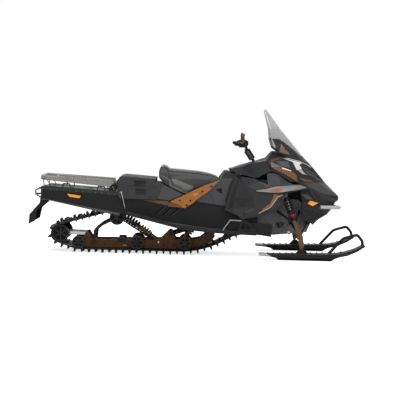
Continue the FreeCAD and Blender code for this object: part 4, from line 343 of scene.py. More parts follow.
def stud(shape, placement, radius, tall, sides, top, rim):
    """Round stud with a narrower, hollow top, standing on its placement."""
    made = bmesh.ops.create_cone(shape, cap_ends=True, cap_tris=False, segments=sides, radius1=radius,
                                 radius2=radius * top, depth=tall)["verts"]
    upper = [face for face in {f for v in made for f in v.link_faces}
             if face.calc_center_median().z > tall * 0.45]
    bmesh.ops.inset_individual(shape, faces=upper, thickness=radius * rim)
    bmesh.ops.translate(shape, vec=(0.0, 0.0, -tall * 0.5), verts=upper[0].verts)
    made = list(set(made) | set(upper[0].verts))
    bmesh.ops.translate(shape, vec=(0.0, 0.0, tall / 2), verts=made)
    bmesh.ops.transform(shape, matrix=placement, verts=made)


def add_bolt(shape, placement, radius, sides=10):
    """Chamfered bolt head with a socket."""
    stud(shape, placement, radius, radius * 0.7, sides, 0.82, 0.35)


def bolts_on(name, node, places, radius, material, sides=10):
    """Bolt heads on both sides of a CAD piece of the body, at places of the side view in millimetres."""
    shape = bmesh.new()
    for spot, normal in spots_on(node, places):
        add_bolt(shape, facing(spot - normal * BOLT_SUNK, normal), radius, sides)
    new_piece(name, shape, material, "body")


# The lighter top band, edge band and slot rims are painted highlights.
tunnel_paint = [(TUNNEL_TOP_HIGHLIGHT, [[(-1487, 660), (600, 545), (600, 492), (-1487, 606)]]),
                (TUNNEL_EDGE_HIGHLIGHT, stripe([(-1480, 504), (-1074, 437), (-828, 396), (-139, 290), (151, 255),
                                           (590, 244)], 26)),
                (TUNNEL_BROWN, [[(-511, 525), (-278, 521), (-105, 464), (-166, 456), (-277, 478),
                                 (-461, 498)]]),
                # The slots are painted near-black as painted shade.
                (SLOT_SHADE, [area for slot in TUNNEL_SLOTS for area in stripe(slot, 15)]),
                (TUNNEL_EDGE_HIGHLIGHT, [area for (a, b), (c, d) in TUNNEL_SLOTS
                                    for area in stripe([(a + 14, b), (c + 14, d)], 4)])]
dress(finish("sheet_black", TUNNEL_COLOUR, 0.5, shine=0.03, wear=0.35, paint=tunnel_paint), "tunnel")
board_black = finish("board_black", (0.018, 0.018, 0.019), 0.5, wear=0.5, dust=0.3, depth=0.0005)
dress(board_black, "running_boards")
bracket_black = finish("bracket_black", (0.014, 0.014, 0.015), 0.4, wear=0.35)
dress(bracket_black, "rack_brackets", "tie_down_loops", "tow_hitch", "rear_bumper")
rivet_metal = finish("rivet_metal", (0.20, 0.20, 0.20), 0.35, metallic=0.8, wear=0.2)
rivets = [(-1460 + RIVET_STEP * step, 612 - RIVET_STEP * TUNNEL_FALL * step) for step in range(RIVET_COUNT)]
bolts_on("tunnel_rivets", "tunnel", rivets, RIVET_RADIUS, rivet_metal, sides=8)

# Board grip. Rows of punched teeth stand on the running boards, where a boot presses, folded up from the
# same sheet.
TOOTH_RADIUS = 0.0065
TOOTH_TALL = 0.006
TOOTH_STEP = 0.030
TOOTH_ROWS = (0.296, 0.324, 0.352, 0.380)
TOOTH_COUNT = 30
TOOTH_START = -0.560
STEEPEST = 0.7
RAY_TOP = 0.5
DOWN = Vector((0.0, 0.0, -1.0))
shape = bmesh.new()
for number, y in enumerate(TOOTH_ROWS):
    for step in range(TOOTH_COUNT):
        x = TOOTH_START + TOOTH_STEP * (step + 0.5 * (number % 2))
        for side in (-1, 1):
            spot, normal = faces_of("running_boards").ray_cast(Vector((x, side * y, RAY_TOP)), DOWN)[:2]
            if spot is None or abs(normal.z) < STEEPEST:
                continue
            up = normal if normal.z > 0 else -normal
            foot = spot + Vector((0.0, 0.0, TOOTH_TALL * 0.4)) - up * TOOTH_TALL / 2
            stud(shape, facing(foot, up), TOOTH_RADIUS, TOOTH_TALL, 6, 0.6, 0.2)
new_piece("board_teeth", shape, board_black, "body")

# Rear end. Thick rubber flap on the tunnel's end, guards of bent tube round the hitch, a red lamp and amber
# reflectors with moulded prisms. The flap hangs from a row of bolts.
PRISMS = {"grain": 240.0, "depth": 0.0012, "wear": 0.0, "dust": 0.0}
dress(finish("flap_rubber", (0.018, 0.018, 0.019), 0.62, depth=0.0006, dust=0.12), "snow_flap")
dress(finish("reflector_amber", (0.86, 0.34, 0.03), 0.2, coat=0.6, **PRISMS), "markers")
dress(finish("lamp_red", (0.30, 0.010, 0.010), 0.18, coat=0.8, **PRISMS), "tail_lamp")
bolt_black = finish("bolt_black", (0.012, 0.012, 0.013), 0.32, metallic=0.5, wear=0.5, dust=0.05)
bolts_on("flap_bolts", "snow_flap", ((-1474, 520), (-1474, 505)), 0.005, bolt_black, sides=6)

# Rear rack. Bare extruded aluminium with a groove along its side and a painted highlight along its top,
# carried by black plate brackets with through bolts, beside folded wire loops for straps.
RACK_SLOPE = math.atan2(35.0, 710.0)
SIDE_RAIL_SIZE = (0.690, 0.010, 0.034)
SIDE_RAIL_PLACE = (-1148, 244.5, 709)
GROOVE_LIP = 0.007
GROOVE_WALL = 0.002
GROOVE_DEPTH = 0.004


def mirrored(points, side):
    """Points in metres on one side of the machine, from places in millimetres on its left."""
    return [Vector((x, side * y, z)) / 1000 for x, y, z in points]


def added(shape, before):
    """Vertices that a shape has and didn't have before."""
    return [v for v in shape.verts if v not in before]


def cuboid(shape, size, middle):
    """Vertices of a new block of a size about its middle."""
    made = bmesh.ops.create_cube(shape, size=1.0)["verts"]
    bmesh.ops.scale(shape, vec=size, verts=made)
    bmesh.ops.translate(shape, vec=middle, verts=made)
    return made


# A pale line along the top of the rack's side is a painted highlight, above a thin darker line.
rack_highlight_paint = [((0.40, 0.39, 0.36), stripe([(-1500, 737), (-1440, 733), (-790, 701)], 6)),
              ((0.15, 0.145, 0.135), stripe([(-1500, 725), (-800, 690)], 3))]
rack_metal = finish("rack_metal", (0.215, 0.211, 0.201), 0.45, metallic=0.2, shine=0.13, grain=260.0,
                    wear=0.25, edge_colour=(0.6, 0.59, 0.56), paint=rack_highlight_paint)
dress(rack_metal, "rear_rack")
rails = bmesh.new()
for side in (-1, 1):
    before = set(rails.verts)
    channel = cuboid(rails, SIDE_RAIL_SIZE, (0.0, 0.0, 0.0))
    outer = [f for f in {f for v in channel for f in v.link_faces} if f.calc_center_median().y * side > 0.004]
    bmesh.ops.inset_region(rails, faces=outer, thickness=GROOVE_LIP, use_even_offset=True)
    bmesh.ops.inset_region(rails, faces=outer, thickness=GROOVE_WALL, depth=-GROOVE_DEPTH,
                           use_even_offset=True)
    channel = added(rails, before)
    bmesh.ops.rotate(rails, cent=(0, 0, 0), matrix=Matrix.Rotation(RACK_SLOPE, 3, "Y"), verts=channel)
    bmesh.ops.translate(rails, vec=mirrored([SIDE_RAIL_PLACE], side)[0], verts=channel)
new_piece("rack_side_rails", rails, rack_metal, "body")
bolts_on("rack_bolts", "rear_rack", ((-1462, 700), (-1448, 716), (-815, 672), (-850, 682)), 0.006,
         rivet_metal)
bolts_on("bracket_bolts", "rack_brackets", ((-800, 640), (-790, 620)), 0.007, rivet_metal)

# Track. One endless belt of moulded rubber with cross lugs all round it, which are in one piece with the
# belt. It is rough, and dusty from use.
dress(finish("track_rubber", (0.014, 0.014, 0.015), 0.6, grain=700.0, depth=0.0005, wear=0.25,
             dust=0.3), "track")

# Idler and carrier wheels. Moulded black wheels with rubber rims turn on ball bearings, each closed by a
# turned cap and held by a bolt through the axle's end. Near-black discs behind the spokes are painted shade
# in the wheels' pockets.
WHEELS = ((-1300, 181, 83), (-1128, 100, 60), (-560, 106, 66), (-94, 107.9, 66), (-757, 344, 73))
CAP_FACE = 0.2004
RIM_INSIDE = 0.86
POCKETS = 6
SPOKE_FOOT = 0.024
SPOKE_SECTION = (0.010, 0.006)
CAP = ((0.0, 0.0095), (0.007, 0.0095), (0.0085, 0.007), (0.015, 0.007), (0.017, 0.009), (0.023, 0.008),
       (0.026, 0.0), (0.0, 0.0))


def turned(shape, profile, placement, steps=24):
    """Solid of revolution of (radius, height) points about its placement's Z."""
    before = set(shape.verts)
    points = [shape.verts.new((radius, 0.0, height)) for radius, height in profile]
    edges = [shape.edges.new(ends) for ends in zip(points, points[1:])]
    bmesh.ops.spin(shape, geom=points + edges, cent=(0.0, 0.0, 0.0), axis=(0.0, 0.0, 1.0),
                   dvec=(0.0, 0.0, 0.0), angle=2 * math.pi, steps=steps, use_merge=True, use_duplicate=False)
    made = added(shape, before)
    bmesh.ops.transform(shape, matrix=placement, verts=made)
    bmesh.ops.remove_doubles(shape, verts=made, dist=1e-6)


def edges_of(verts):
    """Edges that meet at these vertices."""
    return list({e for v in verts for e in v.link_edges})


def round_edges(shape, edges, radius, segments=2):
    """Rounds edges of a shape."""
    bmesh.ops.bevel(shape, geom=edges, offset=radius, offset_type="OFFSET", segments=segments, profile=0.5,
                    affect="EDGES", material=-1)


wheel_plastic = finish("wheel_plastic", (0.016, 0.016, 0.017), 0.36, shine=0.13, wear=0.25)
dress(wheel_plastic, "track_wheels")
rims = bmesh.new()
caps = bmesh.new()
webs = bmesh.new()
discs = bmesh.new()
for x, z, radius in WHEELS:
    for side in (-1, 1):
        placement = facing((x / 1000, side * CAP_FACE, z / 1000), (0, side, 0))
        r = radius / 1000
        inner = r * RIM_INSIDE
        turned(rims, ((inner, 0.0), (inner + 0.001, 0.004), (r * 0.93, 0.006), (r * 0.985, 0.004),
                      (r * 0.985, 0.0), (inner, 0.0)), placement, 40)
        turned(caps, CAP, placement, 28)
        turned(discs, ((0.020, -0.003), (r * 0.80, -0.003), (r * 0.83, -0.001), (r * 0.87, -0.001),
                       (r * 0.87, -0.006), (0.020, -0.006), (0.020, -0.003)), placement, 36)
        length = inner - SPOKE_FOOT
        for pocket in range(POCKETS):
            turn = Matrix.Rotation(2 * math.pi * (pocket + 0.5) / POCKETS, 4, "Z")
            spoke = cuboid(webs, (length,) + SPOKE_SECTION, (SPOKE_FOOT + length / 2, 0.0, 0.001))
            bmesh.ops.transform(webs, matrix=placement @ turn, verts=spoke)
            round_edges(webs, edges_of(spoke), 0.0015)
rim_rubber = finish("rim_rubber", (0.040, 0.040, 0.041), 0.55, wear=0.4)
# Near-black discs behind the spokes: painted shade in the wheels' pockets.
pocket_shade_black = finish("pocket_shade_black", (0.005, 0.005, 0.005), 0.5, wear=0.1, dust=0.05)
new_piece("wheel_rims", rims, rim_rubber, "body")
new_piece("wheel_caps", caps, wheel_plastic, "body")
new_piece("wheel_spokes", webs, rim_rubber, "body")
new_piece("wheel_pocket_shades", discs, pocket_shade_black, "body")

# Slide rails and arms. Anodised brown rails run on graphite sliders; black coated tube arms carry them, and
# bright screws set the rear axle. Bolt heads and oval holes line the rails; the holes are painted near-black
# as painted shade.
rail_paint = [((0.35, 0.34, 0.32), stripe([(-700, 70), (-660, 70)], 7) + stripe([(-620, 70), (-590, 70)], 7)),
              # Oval holes painted near-black: painted shade inside them.
              ((0.012, 0.008, 0.006), [area for x in (-990, -880, -410, -300, -205)
                                       for area in stripe([(x - 9, 82), (x + 9, 82)], 12)])]
dress(finish("rail_brown", (0.072, 0.034, 0.015), 0.4, metallic=0.2, edge_colour=(0.22, 0.14, 0.09),
             paint=rail_paint), "rails")
dress(finish("slider_black", (0.016, 0.016, 0.017), 0.5, dust=0.2), "rail_sliders")
coated_black = finish("coated_black", (0.014, 0.014, 0.015), 0.33, shine=0.13, dust=0.08)
dress(coated_black, "rear_arm", "front_arm", "rear_links", "drive_axle")
bright_metal = finish("bright_metal", (0.50, 0.50, 0.51), 0.25, metallic=0.9, grain=150.0, depth=0.0001,
                      wear=0.0, dust=0.05)
dress(bright_metal, "axle_adjusters")
rail_bolts = ((-1045, 128), (-1010, 78), (-935, 110), (-840, 110), (-770, 85), (-700, 112), (-470, 108),
              (-380, 112), (-250, 112), (-330, 170), (-195, 100), (20, 80), (90, 115))
bolts_on("rail_bolts", "rails", rail_bolts, 0.0065, bolt_black)

# Track shocks. A rear and a centre coil-over damper slope up to the tunnel, each from a cross shaft on the
# rails: a bright rod in a gold body. The rear one's upper coil is black, the other coils are gold.
CROSS_SHAFT = 0.144
SHAFT_RADIUS = 0.008
ROD_RADIUS = 0.0095
SEAT_BORE = 0.0225
EYE = ((0.0085, -0.018), (0.0165, -0.018), (0.0190, -0.015), (0.0190, 0.015), (0.0165, 0.018),
       (0.0085, 0.018), (0.0085, -0.018))
WIRE_SIDES = 7
TURN_STEPS = 20


def coil(shape, strut, low, high, turns, radius, wire):
    """Round wire wound about a damper, between two shares of its length."""
    placement, length = strut
    before = set(shape.verts)
    ring = bmesh.ops.create_circle(shape, cap_ends=False, segments=WIRE_SIDES, radius=wire)["verts"]
    bmesh.ops.rotate(shape, cent=(0, 0, 0), matrix=Matrix.Rotation(math.pi / 2, 3, "X"), verts=ring)
    bmesh.ops.translate(shape, vec=(radius, 0.0, length * low), verts=ring)
    steps = int(turns * TURN_STEPS)
    rise = (0.0, 0.0, (length * high - length * low) / steps)
    bmesh.ops.spin(shape, geom=ring + edges_of(ring), cent=(0, 0, 0), axis=(0, 0, 1), dvec=rise,
                   angle=2 * math.pi * turns, steps=steps, use_merge=False, use_duplicate=False)
    made = added(shape, before)
    open_edges = [e for e in edges_of(made) if len(e.link_faces) == 1]
    bmesh.ops.holes_fill(shape, edges=open_edges, sides=WIRE_SIDES)
    bmesh.ops.transform(shape, matrix=placement, verts=made)


def seat_ring(shape, strut, low, foot, rim, bore=SEAT_BORE):
    """Ring round a damper: radius and share of its length at the ring's foot and rim."""
    placement, length = strut
    profile = ((bore, low), foot, rim, (bore, rim[1]), (bore, low))
    turned(shape, [(radius, length * share) for radius, share in profile], placement, 28)


def damper(name, low, high, share, material, shaft=0.0):
    """Damper body, rod and eyes between two pins, on both sides if the pins stand off the middle."""
    body = bmesh.new()
    rod = bmesh.new()
    struts = []
    for side in ((-1, 1) if low[1] else (1,)):
        start, end = mirrored((low, high), side)
        placement = facing(start, end - start)
        length = (end - start).length
        struts.append((placement, length))
        turned(body, ((0.0, 0.016), (0.014, 0.018), (0.020, 0.030), (0.0235, 0.034), (0.0235, 0.046),
                      (0.0215, 0.048), (0.0215, length * share - 0.006), (0.019, length * share),
                      (0.0, length * share)), placement, 28)
        turned(body, ((0.0, length * 0.86), (0.0345, length * 0.86), (0.0355, length * 0.875),
                      (0.026, length * 0.90), (0.012, length - 0.017), (0.0, length - 0.016)), placement, 28)
        turned(rod, ((0.0, length * share - 0.004), (ROD_RADIUS, length * share - 0.004),
                     (ROD_RADIUS, length * 0.87), (0.0, length * 0.87)), placement, 20)
        for at in (0.0, length):
            eye = placement @ Matrix.Translation((0, 0, at)) @ Matrix.Rotation(math.pi / 2, 4, "X")
            turned(body, EYE, eye, 24)
    if shaft:
        turned(rod, ((0.0, -shaft), (SHAFT_RADIUS, -shaft), (SHAFT_RADIUS, shaft), (0.0, shaft)),
               facing(mirrored([low], 1)[0], (0, 1, 0)), 16)
    new_piece(name + "_damper", body, material, "body")
    new_piece(name + "_rod", rod, bright_metal, "body")
    return struts


gold_metal = finish("gold_metal", (0.25, 0.165, 0.055), 0.3, metallic=0.5, edge_colour=(0.6, 0.5, 0.3))
spring_black = finish("spring_black", (0.014, 0.014, 0.015), 0.28, shine=0.13, dust=0.05)
rear = damper("rear_shock", (-351, 0, 110), (-745, 0, 380), 0.62, gold_metal, CROSS_SHAFT)[0]
centre = damper("centre_shock", (-148, 0, 112), (52, 0, 324), 0.5, gold_metal, CROSS_SHAFT)[0]
gold_wires = bmesh.new()
coil(gold_wires, rear, 0.25, 0.49, 4.0, 0.0365, 0.0075)
coil(gold_wires, centre, 0.38, 0.84, 5.0, 0.0370, 0.0070)
black_wires = bmesh.new()
coil(black_wires, rear, 0.53, 0.845, 5.0, 0.0400, 0.0085)
seat_ring(black_wires, rear, 0.5, (0.044, 0.5), (0.044, 0.513))
seat_ring(black_wires, rear, 0.21, (0.040, 0.215), (0.041, 0.235))
seat_ring(black_wires, centre, 0.33, (0.036, 0.335), (0.037, 0.365))
gold_coils = new_piece("track_coils_gold", gold_wires, gold_metal, "body")
black_coils = new_piece("track_coils_black", black_wires, spring_black, "body")
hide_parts("centre_shock")
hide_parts("rear_shock")

# Front suspension. Cast frame and engine, forged black wishbones and black coil-over shocks with a red
# preload collar, mirrored on both sides.
FRONT_COIL = 0.0345
FRONT_WIRE = 0.0060
RESERVOIR = ((936, 325, 405), (1008, 325, 188))
BOSSES = ((812, 452, 42), (836, 330, 34), (786, 270, 26), (880, 300, 24), (918, 468, 30), (1003, 452, 26),
          (1040, 330, 24), (860, 240, 20))
dress(finish("frame_grey", (0.125, 0.125, 0.128), 0.5, metallic=0.35, shine=0.11, grain=180.0, depth=0.0010,
             wear=0.5, edge_colour=(0.25, 0.25, 0.25), dust=0.2), "front_frame", "engine")
dress(coated_black, "lower_wishbones", "upper_wishbones")
shock_black = finish("shock_black", (0.020, 0.020, 0.021), 0.3, shine=0.13, dust=0.08)
coils = bmesh.new()
collars = bmesh.new()
for strut in damper("front_shock", (966, 300, 312), (868, 205, 598), 0.5, shock_black):
    coil(coils, strut, 0.40, 0.845, 5.5, FRONT_COIL, FRONT_WIRE)
    coil(collars, strut, 0.30, 0.365, 2.0, FRONT_COIL, FRONT_WIRE)
    seat_ring(collars, strut, 0.265, (0.030, 0.265), (0.031, 0.29), bore=0.022)
    seat_ring(coils, strut, 0.367, (0.037, 0.367), (0.037, 0.383))
front_coils = new_piece("front_coils", coils, spring_black, "body")
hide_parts("front_shocks")
collar_red = finish("collar_red", (0.32, 0.012, 0.040), 0.28, metallic=0.3, wear=0.2, dust=0.0)
new_piece("preload_collars", collars, collar_red, "body")
tubes = bmesh.new()
for side in (-1, 1):
    start, end = mirrored(RESERVOIR, side)
    length = (end - start).length
    turned(tubes, ((0.0, 0.0), (0.016, 0.0), (0.021, 0.006), (0.021, length * 0.5), (0.0235, length * 0.52),
                   (0.0235, length * 0.60), (0.021, length * 0.62), (0.021, length - 0.022),
                   (0.0245, length - 0.020), (0.0245, length - 0.004), (0.020, length), (0.0, length)),
           facing(start, end - start), 24)
new_piece("shock_reservoirs", tubes, shock_black, "body")
lumps = bmesh.new()
for x, z, radius in BOSSES:
    r = radius / 1000
    for spot, normal in spots_on("front_frame", [(x, z)]):
        turned(lumps, ((0.0, 0.004), (r * 0.30, 0.004), (r * 0.34, 0.010), (r * 0.55, 0.010),
                       (r * 0.62, 0.006), (r * 0.86, 0.006), (r, 0.001), (r, -0.004), (0.0, -0.004)),
               facing(spot, normal), 24)
cast_light = finish("cast_light", (0.135, 0.135, 0.138), 0.45, metallic=0.3, shine=0.2, grain=150.0,
                    depth=0.0010, wear=0.5, edge_colour=(0.3, 0.3, 0.3))
new_piece("frame_bosses", lumps, cast_light, "body")
frame_bolts = ((700, 300), (760, 260), (820, 300), (860, 380), (1000, 300), (1050, 340), (960, 480))
bolts_on("frame_bolts", "front_frame", frame_bolts, 0.009, rivet_metal)

# Spindles, tie rods and skis. Forged brown spindles turn on the arms' ball joints and carry wide moulded
# skis, whose top edges are ribbed and whose tails are painted light grey.
SKI_STANCE = 0.475
RIB_STEP = 0.058
RIB_COUNT = 14
RIB_START = 0.70
RIB_LINE = 0.070
RIB_SIZE = (0.012, 0.016, 0.008)
RIB_LIFT = 0.002
RIB_HIGHEST = 0.15
PIN_X = 1.022
PIN_Z = 0.092
PIN_END = 0.0172
PIN_RADIUS = 0.010
LOOP_RADIUS = 0.0145
LOOP = ((1.277, 0.074), (1.374, 0.180), (1.402, 0.210), (1.416, 0.221), (1.520, 0.2515), (1.540, 0.2525),
        (1.552, 0.244), (1.584, 0.206), (1.590, 0.194), (1.596, 0.150))


def pipe(shape, points, radius):
    """Round bar through points, with closed ends, added to a shape."""
    line = bpy.data.curves.new("pipe", "CURVE")
    line.dimensions = "3D"
    line.bevel_depth = radius
    line.bevel_resolution = 2
    line.resolution_u = 6
    line.use_fill_caps = True
    spline = line.splines.new("NURBS")
    spline.points.add(len(points) - 1)
    for point, place in zip(spline.points, points):
        point.co = tuple(place) + (1.0,)
    spline.order_u = min(3, len(points))
    spline.use_endpoint_u = True
    holder = bpy.data.objects.new("pipe", line)
    made = bpy.data.meshes.new_from_object(holder)
    shape.from_mesh(made)
    bpy.data.objects.remove(holder)
    bpy.data.curves.remove(line)
    bpy.data.meshes.remove(made)


dress(finish("spindle_brown", (0.120, 0.060, 0.032), 0.36, metallic=0.2, wear=0.35,
             edge_colour=(0.3, 0.2, 0.12), dust=0.08), "spindle_right", "spindle_left")
dress(bright_metal, "tie_rod_right", "tie_rod_left")
ski_paint = [((0.36, 0.36, 0.37), [[(610, 20), (610, 80), (690, 60), (728, 40), (700, 20)]]),
             ((0.045, 0.045, 0.047), stripe([(800, 62), (1500, 74)], 5))]
ski_black = finish("ski_black", (0.014, 0.014, 0.015), 0.6, wear=0.35, dust=0.05, paint=ski_paint)
dress(ski_black, "ski_right", "ski_left", "ski_loop_right", "ski_loop_left")
for side, word in ((-1, "right"), (1, "left")):
    shape = bmesh.new()
    for step in range(RIB_COUNT):
        for edge in (-RIB_LINE, RIB_LINE):
            start = Vector((RIB_START + RIB_STEP * step, side * SKI_STANCE + edge, RAY_TOP))
            spot = faces_of("ski_" + word).ray_cast(start, DOWN)[0]
            if spot is None or spot.z > RIB_HIGHEST:
                continue
            rib = cuboid(shape, RIB_SIZE, spot + Vector((0.0, 0.0, RIB_LIFT)))
            upper = [e for e in edges_of(rib) if min(v.co.z for v in e.verts) > spot.z]
            round_edges(shape, upper, 0.003)
    new_piece("ski_ribs_" + word, shape, bracket_black, "ski_" + word)
    shape = bmesh.new()
    pipe(shape, [(x, side * SKI_STANCE, z) for x, z in LOOP], LOOP_RADIUS)
    loop = new_piece("ski_grip_" + word, shape, ski_black, "ski_" + word)
    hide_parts("ski_loop_" + word)
    shape = bmesh.new()
    for outward in (-1, 1):
        pin = (PIN_X, side * SKI_STANCE + outward * PIN_END, PIN_Z)
        add_bolt(shape, facing(pin, (0, outward, 0)), PIN_RADIUS, 6)
    new_piece("ski_bolt_" + word, shape, rivet_metal, "spindle_" + word)

# Steering. A drilled riser holds the handlebar; rubber grips with raised rings, switch blocks and a brown
# hand hook at each side move with it.
HOOK = ((0.408, 0.330, 1.088), (0.432, 0.330, 1.092), (0.448, 0.330, 1.112), (0.444, 0.330, 1.150),
        (0.446, 0.328, 1.172), (0.450, 0.324, 1.184))
HOOK_RADIUS = 0.0100
RISER_FOOT = (560, 35.2, 915)
RISER_BACK = Vector((-math.sin(math.radians(34.0)), 0.0, math.cos(math.radians(34.0))))
EYELET = ((0.0040, 0.0), (0.0085, 0.0), (0.0085, 0.0022), (0.0072, 0.0030), (0.0045, 0.0022), (0.0040, 0.0))
EYELET_FIRST = 0.040
EYELET_STEP = 0.024
dress(coated_black, "steering_post", "handlebar")
dress(finish("grip_rubber", (0.012, 0.012, 0.012), 0.7, grain=300.0, depth=0.0012, wear=0.1,
             dust=0.15), "grips")
control_black = finish("control_black", (0.018, 0.018, 0.019), 0.4, wear=0.4)
dress(control_black, "bar_controls")
hooks = bmesh.new()
studs = bmesh.new()
for side in (-1, 1):
    pipe(hooks, [(x, side * y, z) for x, y, z in HOOK], HOOK_RADIUS)
    for step in range(4):
        spot = mirrored([RISER_FOOT], side)[0] + RISER_BACK * (EYELET_FIRST + EYELET_STEP * step)
        turned(studs, EYELET, facing(spot, (0, side, 0)), 18)
hook_brown = finish("hook_brown", (0.100, 0.048, 0.030), 0.42, dust=0.05)
new_piece("bar_hooks", hooks, hook_brown, "steering")
new_piece("riser_eyelets", studs, rivet_metal, "steering")

# Cargo box. Moulded grey box with a recessed pocket that is only painted, as painted shade: a dark outline,
# a painted shadow under its top edge and a darker floor. It has a hinged lid with a black latch, corner bolts
# and a bright rod with a hook that straps it to the tunnel.
STRAP_RADIUS = 0.0032
STRAP = ((-716, 285.5, 592), (-704, 287.5, 560), (-688, 283.5, 488), (-678, 271.5, 440))
STRAP_HOOK = ((-728, 285.5, 590), (-722, 289.5, 604), (-706, 285.5, 596))
LATCH = (((-597, -289, 700), (-484, -281, 709), 2.5), ((-589, -290, 684), (-492, -281, 697), 3.0),
         ((-545, -291, 676), (-536, -281, 712), 2.0), ((-597, -288, 660), (-484, -282.5, 672), 2.0))
# The pocket is painted shade: a dark outline, a painted shadow under its top edge and a darker floor.
pocket_shade_outline = [(-652, 655), (-457, 645), (-449, 542), (-648, 556), (-652, 655)]
box_pocket_shade = [((0.022, 0.022, 0.023), stripe(pocket_shade_outline, 4)),
             ((0.014, 0.014, 0.015), [[(-580, 633), (-480, 626), (-478, 612), (-580, 619)]]),
             ((0.030, 0.030, 0.031), [[(-580, 619), (-478, 612), (-476, 568), (-578, 576)]])]
dress(finish("box_grey", (0.046, 0.046, 0.048), 0.7, shine=0.03, grain=380.0, depth=0.0004, wear=0.15,
             dust=0.0, paint=box_pocket_shade), "cargo_box", "cargo_box_lid")
dress(finish("base_black", (0.018, 0.018, 0.019), 0.5, wear=0.1), "seat_base")


def block(shape, low, high, bevel):
    """Rounded block between two corners, in millimetres, added to a shape."""
    low, high = Vector(low) / 1000, Vector(high) / 1000
    made = cuboid(shape, high - low, (low + high) / 2)
    round_edges(shape, edges_of(made), bevel / 1000, 3)


latch = bmesh.new()
for low, high, bevel in LATCH:
    block(latch, low, high, bevel)
new_piece("box_latch", latch, control_black, "cargo_box_lid")
strap = bmesh.new()
for side in (-1, 1):
    pipe(strap, mirrored(STRAP, side), STRAP_RADIUS)
    pipe(strap, mirrored(STRAP_HOOK, side), STRAP_RADIUS)
new_piece("box_straps", strap, bright_metal, "body")
box_bolts = ((-700, 560), (-700, 640), (-400, 640), (-380, 560), (-440, 552))
bolts_on("box_bolts", "cargo_box", box_bolts, 0.006, bolt_black)

# Seat. One vinyl cover over shaped foam, swollen by cloth pressure from the smaller foam block, with a grey
# side insert, a lighter painted sheen on the raised back, and stitched piping along both top edges and across
# the front of the raised back.
SEAT_VOXEL = 0.0065
SEAT_SWELL = 0.009
SEAM_Y = 0.128
SEAM_X = -0.272
PIPING = 0.0026
SEAM_LOW = 0.660
SEAM_DEPTH = 0.0026
SEAM_REACH = 0.010
BULGE_FRAMES = 20
seat_insert_and_sheen = [
    ((0.165, 0.167, 0.160), [[(-265, 718), (-229, 731), (-192, 726), (-104, 583), (-257, 646)],
                             [(-192, 726), (-21, 661), (-40, 628), (-104, 583)]]),
    # A lighter patch on the raised back: painted sheen.
    ((0.075, 0.075, 0.078), [[(-330, 640), (-262, 630), (-262, 730), (-362, 790), (-372, 740)]])]
seat_vinyl = finish("seat_vinyl", (0.058, 0.058, 0.060), 0.55, shine=0.11, grain=520.0, depth=0.0004,
                    mottle=0.2, wear=0.0, dust=0.08, paint=seat_insert_and_sheen)
shape = bmesh.new()
shape.from_mesh(nodes["seat"].data)
bmesh.ops.remove_doubles(shape, verts=shape.verts, dist=0.0002)
seat_low, seat_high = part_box("seat")
middle = (Vector(seat_low) + Vector(seat_high)) / 2
bmesh.ops.translate(shape, vec=-middle, verts=shape.verts)
size = Vector(seat_high) - Vector(seat_low)
bmesh.ops.scale(shape, vec=[(side - 2 * SEAT_SWELL) / side for side in size], verts=shape.verts)
bmesh.ops.translate(shape, vec=middle, verts=shape.verts)
pad = new_object("seat_pad", shape)
remesh = pad.modifiers.new("remesh", "REMESH")
remesh.mode = "VOXEL"
remesh.voxel_size = SEAT_VOXEL
even = pad.modifiers.new("even", "CORRECTIVE_SMOOTH")
even.iterations = 8
even.use_only_smooth = True
pad_mesh = bpy.data.meshes.new_from_object(pad.evaluated_get(bpy.context.evaluated_depsgraph_get()))
pad.modifiers.clear()
pad.data = pad_mesh
still = [v.co.copy() for v in pad_mesh.vertices]
facings = [v.normal.copy() for v in pad_mesh.vertices]
cloth = pad.modifiers.new("cloth", "CLOTH")
cloth.settings.use_pressure = True
cloth.settings.uniform_pressure_force = 4.0
cloth.settings.effector_weights.gravity = 0.0
cloth.settings.quality = 5
cloth.point_cache.frame_end = BULGE_FRAMES
for step in range(1, BULGE_FRAMES + 1):
    scene.frame_set(step)
puffed = pad.evaluated_get(bpy.context.evaluated_depsgraph_get()).data
swollen = [v.co.copy() for v in puffed.vertices]
pad.modifiers.clear()
scene.frame_set(1)
for vertex, start, end, facing_out in zip(pad_mesh.vertices, still, swollen, facings):
    move = end - start
    if move.length > SEAT_SWELL:
        move = move * (SEAT_SWELL / move.length)
    vertex.co = start + move * max(0.0, min(1.0, 1.0 + facing_out.z * 1.6))
shape = bmesh.new()
shape.from_mesh(pad_mesh)
bmesh.ops.recalc_face_normals(shape, faces=shape.faces)
shape.normal_update()
seams = bmesh.new()
for plane, normal in ((Vector((0, SEAM_Y, 0)), Vector((0, 1, 0))),
                      (Vector((0, -SEAM_Y, 0)), Vector((0, -1, 0))),
                      (Vector((SEAM_X, 0, 0.80)), Vector((-1, 0, -0.35)).normalized())):
    cut = shape.copy()
    parts = cut.verts[:] + cut.edges[:] + cut.faces[:]
    parted = bmesh.ops.bisect_plane(cut, geom=parts, plane_co=plane, plane_no=normal)
    seam = {e for e in parted["geom_cut"] if isinstance(e, bmesh.types.BMEdge)}
    start = max({v for e in seam for v in e.verts}, key=lambda v: v.co.z)
    line, met = [start], {start}
    while True:
        ends = [e.other_vert(line[-1]) for e in line[-1].link_edges if e in seam]
        onward = [v for v in ends if v not in met]
        if not onward:
            break
        line.append(onward[0])
        met.add(onward[0])
    spots = [v.co.copy() for v in line]
    low = next((number for number, spot in enumerate(spots) if spot.z < SEAM_LOW), len(spots))
    other = next((number for number, spot in enumerate(reversed(spots)) if spot.z < SEAM_LOW), 0)
    spots = spots[len(spots) - other:] + spots[:low]
    pipe(seams, spots[::4] + spots[-1:], PIPING)
    cut.free()
    for vertex in shape.verts:
        away = abs((vertex.co - plane).dot(normal))
        if away < SEAM_REACH and vertex.normal.z > -0.3:
            vertex.co -= vertex.normal * SEAM_DEPTH * (1.0 - away / SEAM_REACH)
